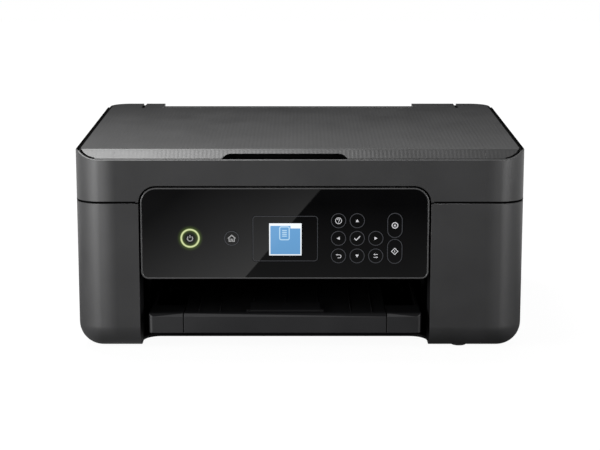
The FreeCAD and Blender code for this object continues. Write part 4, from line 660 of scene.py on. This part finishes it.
# A patch of the skin: the lid's height and a cosine across the width that dies out at sides, front and rear.
def lidPatch(lowX, highX, lowY, highY, onStrip=False):
    atFront = lowY == lid["front"]
    share = np.linspace(*lid["rows"])
    if atFront:  # close rows over the bevel
        share = np.concatenate([np.linspace(*lid["bevelRows"]), np.linspace(*lid["flatRows"])])
    x = np.linspace(lowX, highX, int((highX - lowX) / lid["step"]) + 1)
    near = np.maximum(lidFrontEdge(x), lowY)
    far = np.minimum(highY, lid["rear"] - cornerBack(x))
    y = near + share[:, None] * (far - near)
    x = np.broadcast_to(x, y.shape)
    ridge = np.interp(y, lid["rising"], lid["heights"]) * (0.5 + 0.5 * np.cos(2 * np.pi * x / lid["pitch"]))
    ridge = ridge * np.clip((lid["side"] - np.abs(x)) / lid["sideFade"], 0, 1)
    ridge = ridge * np.interp(y, lid["fading"], (1, 0))
    if atFront:
        ridge = ridge * np.clip((y - near) / lid["frontFade"], 0, 1)
    grid = np.stack([x, y, lidHeight(y, onStrip) + lid["lift"] + ridge], -1)
    down = np.array([0, 0, -lid["skirt"]])
    grid = np.concatenate([grid[:1] + down, grid, grid[-1:] + down])
    grid = np.concatenate([grid[:, :1] + down, grid, grid[:, -1:] + down], 1)
    return gridSurface(grid)


slotNear, slotFar = lid["slot"]
stripLow, stripHigh = lid["strip"]
flatEnd, stripFront = lid["stripStart"] - lid["joint"], lid["stripStart"] + lid["joint"]
lidPatches = [lidPatch(-slotFar, slotFar, lid["front"], flatEnd),
              lidPatch(-lid["side"], -slotFar, lid["front"], lid["rear"]),
              lidPatch(slotFar, lid["side"], lid["front"], lid["rear"]),
              lidPatch(-slotNear, stripLow - lid["joint"], stripFront, lid["rear"]),
              lidPatch(stripLow + lid["joint"], stripHigh - lid["joint"], stripFront, lid["rear"], True),
              lidPatch(stripHigh + lid["joint"], slotNear, stripFront, lid["rear"])]
lidSkin = makePiece("lid_ridges", joinSurfaces(lidPatches), coverPlastic, "document_cover")
lidSkin.modifiers.new("edges", "EDGE_SPLIT").split_angle = math.radians(lid["splitAngle"])

# Lid edge: a black strip along each side of the lid and round the front corner, down the bevel, painted shade
# of the gap beside the lid.
edge = {"inset": 0.6, "width": 1.8, "low": -0.3, "high": 0.16, "rear": 128.0, "turn": 78}
edgeCentre = (lid["side"] - lid["corner"], lid["front"] + lid["corner"])
edgeTurn = arcPath(edgeCentre, lid["corner"] - edge["inset"], 0, -edge["turn"], 26)
edgeLine = np.concatenate([[(edgeTurn[0, 0], edge["rear"])], edgeTurn])
edgePath = np.column_stack([edgeLine, lidHeight(edgeLine[:, 1]) + lid["lift"]])
edgeRuns = [edgePath, (edgePath * (-1, 1, 1))[::-1]]
edgeShadeStrips = sweepRuns(edgeRuns, barProfile(edge["width"], edge["low"], edge["high"]), upward)
makePiece("lid_edge_shade", edgeShadeStrips, paintedShadeBlack, "document_cover", smooth=False)
print("lid patches:", len(lidPatches))


# The faces of a CAD node: their centres or normals, and a second finish on those that are chosen.
def faceValues(node, kind):
    faces = nodes[node].data.polygons
    values = np.empty(len(faces) * 3, np.float32)
    faces.foreach_get(kind, values)
    return values.reshape(-1, 3)


def secondFinish(node, chosen, material):
    mesh = nodes[node].data
    mesh.materials.append(material)
    mesh.polygons.foreach_set("material_index", chosen.astype(np.int32))


# Painted shade: inner faces of the case, its lip under the bay, and the faces of the bay's pieces that lie
# behind the tray's front or look up take a deeper black. A face is inner where its normal points towards the
# case's middle;
# the lip is a middle, a reach and a height.
shade = {"bay": ("output_tray", "paper_cassette", "paper_stop"), "bayFront": -148.25, "level": 0.9,
         "lip": (-12.6, 122.5, 14.0)}
centres, normals = faceValues("base_case", "center"), faceValues("base_case", "normal")
lipMiddle, lipReach, lipHigh = np.array(shade["lip"]) * mm
caseMiddle = sum(boxOf("base_case")) / 2 * mm
inner = ((centres - caseMiddle) * normals).sum(1) < 0
onLip = (np.abs(centres[:, 0] - lipMiddle) < lipReach) & (centres[:, 2] < lipHigh)
secondFinish("base_case", inner | onLip, innerPaintedShade)
for name in shade["bay"]:
    behind = faceValues(name, "center")[:, 1] > shade["bayFront"] * mm
    secondFinish(name, behind | (faceValues(name, "normal")[:, 2] > shade["level"]), innerPaintedShade)

# Main board: the sockets' faces, which stand off the board towards the rear, are metal.
sockets = {"start": 139.5}
secondFinish("main_board", faceValues("main_board", "center")[:, 1] > sockets["start"] * mm, brightSteel)
print("second finishes:", len(shade["bay"]) + 2, "nodes")

# Panel bead: a half-round moulding round the edge of the fascia, wide corners above and tight ones below. Its
# paler plastic is painted highlight.
bead = {"inset": 1.1, "radius": 0.75, "sunk": 0.5, "corners": (13.4, 13.4, 6.5, 6.5)}
fasciaLow, fasciaHigh = boxOf("panel_fascia")
beadLine = roundedOutline(fasciaLow[[0, 2]] + bead["inset"], fasciaHigh[[0, 2]] - bead["inset"],
                          np.array(bead["corners"]) - bead["inset"], 12)
beadPath = atDepth(beadLine, fasciaLow[1] + bead["sunk"])
makePiece("panel_bead", sweepSurface(beadPath, roundProfile(bead["radius"]), frontward, True), rimPlasticPaintedHighlight,
          "control_panel")

# Lid gap shade: a black strip over each side rim of the scanner and down its inner wall, painted shade of the
# gap beside the lid.
gapShade = {"x": 186.85, "front": -129.0, "rear": 124.0, "rim": 169.0, "half": 0.62, "lap": 0.06, "drop": 8.6}
half, lap, drop = gapShade["half"], gapShade["lap"], gapShade["drop"]
gapShadeProfile = [(-half, 0), (-half, lap), (half + lap, lap), (half + lap, -drop), (half, -drop), (half, 0)]
gapShadeRuns = [atLevel([(-gapShade["x"], gapShade["front"]), (-gapShade["x"], gapShade["rear"])], gapShade["rim"]),
            atLevel([(gapShade["x"], gapShade["rear"]), (gapShade["x"], gapShade["front"])], gapShade["rim"])]
makePiece("lid_gap_shade", sweepRuns(gapShadeRuns, gapShadeProfile, upward), paintedShadeBlack, "scanner", smooth=False)

# Finger recess: painted shade, a black patch on its back wall, an outline whose upper corners are arcs.
recess = {"back": -138.0, "layer": 0.06}
gap = lid["gap"]
endX, endZ = gap["half"] - gap["round"], gap["high"] - gap["round"]
lean = np.degrees(np.arcsin((coverLow[2] - endZ) / gap["round"]))
recessShade = np.concatenate([arcPath((gap["middle"] + endX, endZ), gap["round"], lean, 90, 9),
                         arcPath((gap["middle"] - endX, endZ), gap["round"], 90, 180 - lean, 9)])
makePiece("finger_recess_shade", patchSurface(recessShade, recess["back"], recess["layer"]), paintedShadeBlack, "document_cover",
          smooth=False)

# Hinge slots of the lid: a black block stands in each, a little below the top, painted shade of the slot.
slotShade = {"x": 152.5, "width": 2.5, "start": 117.1, "end": 148.5, "low": 162.4, "high": 168.4}
slotShadeRuns = [atLevel([(x, slotShade["start"]), (x, slotShade["end"])], slotShade["low"]) for x in (-slotShade["x"], slotShade["x"])]
slotShadeBlocks = sweepRuns(slotShadeRuns, barProfile(slotShade["width"], 0, slotShade["high"] - slotShade["low"]), upward)
makePiece("hinge_slot_shade", slotShadeBlocks, paintedShadeBlack, "document_cover", smooth=False)

# Parting line: painted shade, black in the gap and on the scanner's lower edge, over a slim bead on the
# base's rim.
# Each follows the rim from the bay round a front corner and along the side. The gap shade and the band are
# inset, low, high and width, and the bead is inset, level and radius.
parting = {"half": (cadHigh.x / mm, cadHigh.y / mm), "corner": 21.0, "bay": (-136.6, 111.4), "rear": 120.0,
           "gapShade": (1.3, 125.7, 126.95, 0.6), "band": (-0.02, 127.05, 128.0, 0.1),
           "bead": (0.45, 125.85, 0.36)}


def partingSurface(inset, level, profile):
    sideX, frontY, corner = parting["half"][0] - inset, inset - parting["half"][1], parting["corner"] - inset
    runs = []
    for side, start in zip((-1, 1), parting["bay"]):
        turn = arcPath((side * (sideX - corner), frontY + corner), corner, 270, 270 + side * 90, 14)
        rim = np.concatenate([[(start, frontY)], turn, [(side * sideX, parting["rear"])]])
        runs.append(atLevel(rim, level))
    return sweepRuns(runs, profile, upward)


for name, body in (("gapShade", "base"), ("band", "scanner")):
    inset, low, high, width = parting[name]
    surface = partingSurface(inset, low, barProfile(width, 0, high - low))
    makePiece(f"parting_{name}", surface, paintedShadeBlack, body, smooth=False)
inset, level, radius = parting["bead"]
makePiece("parting_bead", partingSurface(inset, level, roundProfile(radius)), casePlastic, "base")
# Of these pieces, the black ones are painted shade, and the panel bead's paleness is painted highlight.
print("seams and linings: 7 pieces")

# Tray ribs: low half-round bars along the tray, on which sheets slide; the inner ones start behind the stop.
ribs = {"floor": 29.45, "radius": 0.5, "front": -138.0, "behindStop": -100.0, "rear": -26.0,
        "outer": (-86.0, -68.0, 43.0, 61.0), "inner": (-40.0, -12.6, 15.0)}
ribStarts = [(x, ribs["front"]) for x in ribs["outer"]] + [(x, ribs["behindStop"]) for x in ribs["inner"]]
ribRuns = [atLevel([(x, start), (x, ribs["rear"])], ribs["floor"]) for x, start in ribStarts]
# The ribs take the deeper black of the painted shade in the bay.
makePiece("tray_ribs", sweepRuns(ribRuns, roundProfile(ribs["radius"]), upward), innerPaintedShade, "output_tray")

# Size marks beside the glass: ticks at common sheet sizes, and an arrow at the corner where a sheet is laid.
sizes = {"level": 160.0, "height": 0.05, "corner": (-148.5, 108.0), "tick": (1.2, 4.2), "width": 0.5,
         "along": (105.0, 148.0, 210.0, 254.0, 279.4), "across": (105.0, 148.0, 182.0, 210.0),
         "arrow": ((-4.0, -3.5), (-1.2, 1.2), (3.5, 4.0)), "arrowWidth": 2.2}
corner = np.array(sizes["corner"])
near, far = sizes["tick"]
ticks = [[(length, near), (length, far)] for length in sizes["along"]]
ticks += [[(-near, -length), (-far, -length)] for length in sizes["across"]]
tickRuns = [atLevel(tick + corner, sizes["level"]) for tick in ticks]
arrowRun = atLevel(sizes["arrow"] + corner, sizes["level"])
sizeMarks = [sweepRuns(tickRuns, barProfile(sizes["width"], 0, sizes["height"]), upward),
             sweepSurface(arrowRun, barProfile(sizes["arrowWidth"], 0, sizes["height"]), upward)]
makePiece("size_marks", joinSurfaces(sizeMarks), markWhite, "scanner", smooth=False)

# Ink tanks: a white label on each top, with a drop in the tank's colour, and a ridged grip behind it. The
# drop is a circle whose width is pinched towards its tip.
tanks = {"label": (6.6, 11.0), "labelRound": 1.5, "labelY": -3.5, "layer": 0.08, "drop": (2.72, 3.4),
         "gripY": (11.5, 15.5, 4), "gripHalf": 6.0, "gripRadius": 0.45}
inks = {"ink_black": inkBlack, "ink_cyan": inkCyan, "ink_magenta": inkMagenta, "ink_yellow": inkYellow}
angle = np.linspace(0, 2 * np.pi, 40, endpoint=False)
drop = np.column_stack([np.cos(angle) * np.cos(angle / 2 - np.pi / 4) ** 2, np.sin(angle)]) * tanks["drop"]
for name, finish in inks.items():
    low, high = boxOf(name)
    middle, top = (low + high)[:2] / 2, high[2]
    centre, reach = middle + (0, tanks["labelY"]), np.array(tanks["label"])
    labelLine = roundedOutline(centre - reach, centre + reach, tanks["labelRound"])
    label = patchSurface(labelLine, top, tanks["layer"], upward)
    makePiece(f"{name}_label", label, nylonWhite, name, smooth=False)
    onLabel = patchSurface(centre + drop, top, 2 * tanks["layer"], upward)
    makePiece(f"{name}_drop", onLabel, finish, name, smooth=False)
    gripRuns = [atLevel([(-tanks["gripHalf"], y), (tanks["gripHalf"], y)] + middle, top)
                for y in np.linspace(*tanks["gripY"])]
    makePiece(f"{name}_grip", sweepRuns(gripRuns, roundProfile(tanks["gripRadius"]), upward), finish, name)

# Rear wall: screws with a cross cut, and a row of upright vent slots over the power supply, each with a rim.
# The cuts and the slots are flat black bars, painted shade of the hollows.
rearWall = {"y": cadHigh.y / mm, "screws": ((-168.0, 100.0), (168.0, 100.0), (-100.0, 14.0), (76.0, 14.0)),
            "head": ((0.0, -0.2), (2.9, -0.2), (2.5, 0.06), (1.4, 0.17), (0.0, 0.2)),
            "cutHalf": 1.5, "cutWidth": 0.5, "cutLayer": 0.12,
            "vents": (112.0, 158.0, 12), "ventHeights": (50.0, 68.0), "ventWidth": 1.5, "ventLayer": 0.06,
            "rimAside": 1.2, "rimRadius": 0.3}
wall, cutHalf, cutLayer = rearWall["y"], rearWall["cutHalf"], rearWall["cutLayer"]
screwHeads = [turnedSurface((x, wall, z), rearWall["head"], rearward) for x, z in rearWall["screws"]]
cutRuns = [atDepth([(x - alongX, z - alongZ), (x + alongX, z + alongZ)], wall + cutLayer)
           for x, z in rearWall["screws"] for alongX, alongZ in ((cutHalf, 0), (0, cutHalf))]
cutProfile = barProfile(rearWall["cutWidth"], 0, cutLayer)
makePiece("rear_screws", joinSurfaces(screwHeads), brightSteel, "base")
makePiece("rear_screw_cut_shade", sweepRuns(cutRuns, cutProfile, rearward), paintedShadeBlack, "base", smooth=False)
ventX, (ventLow, ventHigh) = np.linspace(*rearWall["vents"]), rearWall["ventHeights"]
ventRuns = [atDepth([(x, ventLow), (x, ventHigh)], wall) for x in ventX]
ventProfile = barProfile(rearWall["ventWidth"], 0, rearWall["ventLayer"])
makePiece("rear_vent_shade", sweepRuns(ventRuns, ventProfile, rearward), paintedShadeBlack, "base", smooth=False)
rimRuns = [run + (rearWall["rimAside"], 0, 0) for run in ventRuns]
rims = sweepRuns(rimRuns, roundProfile(rearWall["rimRadius"]), rearward)
makePiece("rear_vent_rims", rims, casePlastic, "base")
print("detail pieces: ribs, size marks, tanks and rear wall")

# Stage: a pale floor that keeps the shadow, soft boxes round it, and flags that only reflections see.
stage = {"floorHalf": 3.0, "floorGlow": (0.95, 1.0), "glowReach": (0.25, 0.7),
         "floorColour": (0.08, 0.08, 0.08), "ambient": 0.2}
white = (1, 1, 1)


# A flat rectangle from its low corner to its high one, level or upright.
def stagePlane(name, low, high, material):
    (lowX, lowY, lowZ), (highX, highY, highZ) = low, high
    corners = [(lowX, lowY, lowZ), (highX, lowY, lowZ), (highX, highY, highZ), (lowX, highY, highZ)]
    mesh = bpy.data.meshes.new(name)
    mesh.from_pydata(corners, [], [(0, 1, 2, 3)])
    mesh.materials.append(material)
    plane = bpy.data.objects.new(name, mesh)
    bpy.context.collection.objects.link(plane)
    return plane


# One for rays from the camera, a mirror or glass, which see the backdrop as white, and zero for all others.
def seenAsWhite(desk):
    path = desk.add("ShaderNodeLightPath").outputs
    mirrored = desk.math("MAXIMUM", path["Is Glossy Ray"], path["Is Transmission Ray"])
    return desk.math("MAXIMUM", path["Is Camera Ray"], mirrored)


desk = NodeDesk(bpy.data.materials.new("floorPaper"))
diffuse = desk.add("ShaderNodeBsdfDiffuse", Color=stage["floorColour"])
# Glow rises away from the printer, leaving the floor a little darker round it: painted shade beside the real
# shadow.
away = desk.vector("LENGTH", desk.place())["Value"]
rising = desk.ramp(away, *stage["glowReach"], *stage["floorGlow"])
glow = desk.add("ShaderNodeEmission", Color=white, Strength=desk.math("MULTIPLY", seenAsWhite(desk), rising))
floorPaper = desk.show(desk.add("ShaderNodeAddShader", i0=diffuse.outputs[0], i1=glow.outputs[0]))
half = stage["floorHalf"]
stagePlane("floor", (-half, -half, 0), (half, half, 0), floorPaper)

world = bpy.data.worlds.new("studio")
bpy.context.scene.world = world
desk = NodeDesk(world)
level = desk.ramp(seenAsWhite(desk), 0, 1, stage["ambient"], 1.0)
background = desk.add("ShaderNodeBackground", Color=white, Strength=level)
desk.add("ShaderNodeOutputWorld", Surface=background.outputs[0])

# Soft boxes: place, the point each faces, width and height in metres, and radiance. The two low ones stay off
# the lid, which would glare when seen along them from behind.
softBoxes = {
    "keyBox": {"place": (-1.6, -0.85, 0.36), "target": (0, -0.1, 0.12), "size": (1.1, 0.7), "radiance": 17},
    "topBox": {"place": (-0.37, 0.33, 1.4), "target": (-0.1, -0.05, 0.1), "size": (0.45, 0.6),
               "radiance": 20},
    "rearBox": {"place": (0.4, 0.95, 1.6), "target": (0, 0.1, 0.1), "size": (0.9, 0.6), "radiance": 4},
    "sideBox": {"place": (1.6, -0.75, 0.36), "target": (0.1, -0.1, 0.12), "size": (0.7, 0.7), "radiance": 11},
}
lowBoxes = ("keyBox", "sideBox")
sparedLid = bpy.data.collections.new("sparedLid")
for item in (nodes["document_cover"], lidSkin):
    sparedLid.objects.link(item)
for entry in sparedLid.collection_objects:
    entry.light_linking.link_state = "EXCLUDE"
for name, box in softBoxes.items():
    light = bpy.data.lights.new(name, "AREA")
    light.shape = "RECTANGLE"
    light.size, light.size_y = box["size"]
    light.energy = box["radiance"] * math.pi * light.size * light.size_y
    lamp = bpy.data.objects.new(name, light)
    lamp.location = box["place"]
    aim = Vector(box["target"]) - Vector(box["place"])
    lamp.rotation_euler = aim.to_track_quat("-Z", "Y").to_euler()
    bpy.context.collection.objects.link(lamp)
    if name in lowBoxes:
        lamp.light_linking.receiver_collection = sparedLid


# A flag is hidden from every kind of ray but a reflected one.
def onlyReflected(plane):
    for rays in ("camera", "diffuse", "transmission", "volume_scatter", "shadow"):
        setattr(plane, f"visible_{rays}", False)


# Front flag, lying before the printer: pale left of a slanting line, dark right of it, darker near the foot.
frontFlag = {"low": (-1.2, -1.6, 0.0002), "high": (1.2, 0.12, 0.0002),
             "line": ((24.75, -904.0), (-54.2, -419.8)), "left": (0.1, 0.55), "spread": 0.17,
             "nearing": (0.75, 1.75), "right": (0.0, 0.17), "rightStart": 0.2, "foot": (-0.39, -0.27),
             "footTone": 0.35}
desk = NodeDesk(bpy.data.materials.new("frontFlag"))
x, y, _ = desk.split(desk.place())
(farX, farY), (nearX, nearY) = (np.array(point) * mm for point in frontFlag["line"])
lineX = desk.ramp(y, farY, nearY, farX, nearX)
lineX.node.clamp = False
aside = desk.math("SUBTRACT", x, lineX)
nearness = desk.ramp(y, farY, nearY, 0, 1)
leftTone = desk.math("MULTIPLY", desk.ramp(aside, -frontFlag["spread"], 0, *frontFlag["left"]),
                     desk.ramp(nearness, 0, 1, *frontFlag["nearing"]))
rightTone = desk.ramp(nearness, frontFlag["rightStart"], 1, *frontFlag["right"])
isLeft = desk.math("LESS_THAN", aside, 0.0)
tone = desk.add("ShaderNodeMix", i0=isLeft, i2=rightTone, i3=leftTone).outputs[0]
tone = desk.math("MULTIPLY", tone, desk.ramp(y, *frontFlag["foot"], 1, frontFlag["footTone"]))
frontPaper = desk.show(desk.add("ShaderNodeEmission", Color=white, Strength=tone))
onlyReflected(stagePlane("frontFlag", frontFlag["low"], frontFlag["high"], frontPaper))

# Rear flag, standing close behind: the lid mirrors its dark foot at the back and its paler top at the front.
rearFlag = {"low": (-2.0, 0.3, 0.171), "high": (2.0, 0.3, 2.5), "heights": (0.25, 0.36), "tones": (0.0, 0.85),
            "fading": (0.4, 0.7), "fadedTone": 0.15, "across": (-0.3, 0.3), "acrossTones": (1.4, 0.75)}
desk = NodeDesk(bpy.data.materials.new("rearFlag"))
x, _, z = desk.split(desk.place())
tone = desk.math("MULTIPLY", desk.ramp(z, *rearFlag["heights"], *rearFlag["tones"]),
                 desk.ramp(x, *rearFlag["across"], *rearFlag["acrossTones"]))
tone = desk.math("MULTIPLY", tone, desk.ramp(z, *rearFlag["fading"], 1, rearFlag["fadedTone"]))
rearPaper = desk.show(desk.add("ShaderNodeEmission", Color=white, Strength=tone))
onlyReflected(stagePlane("rearFlag", rearFlag["low"], rearFlag["high"], rearPaper))
print("stage: floor, flags and", len(softBoxes), "soft boxes")
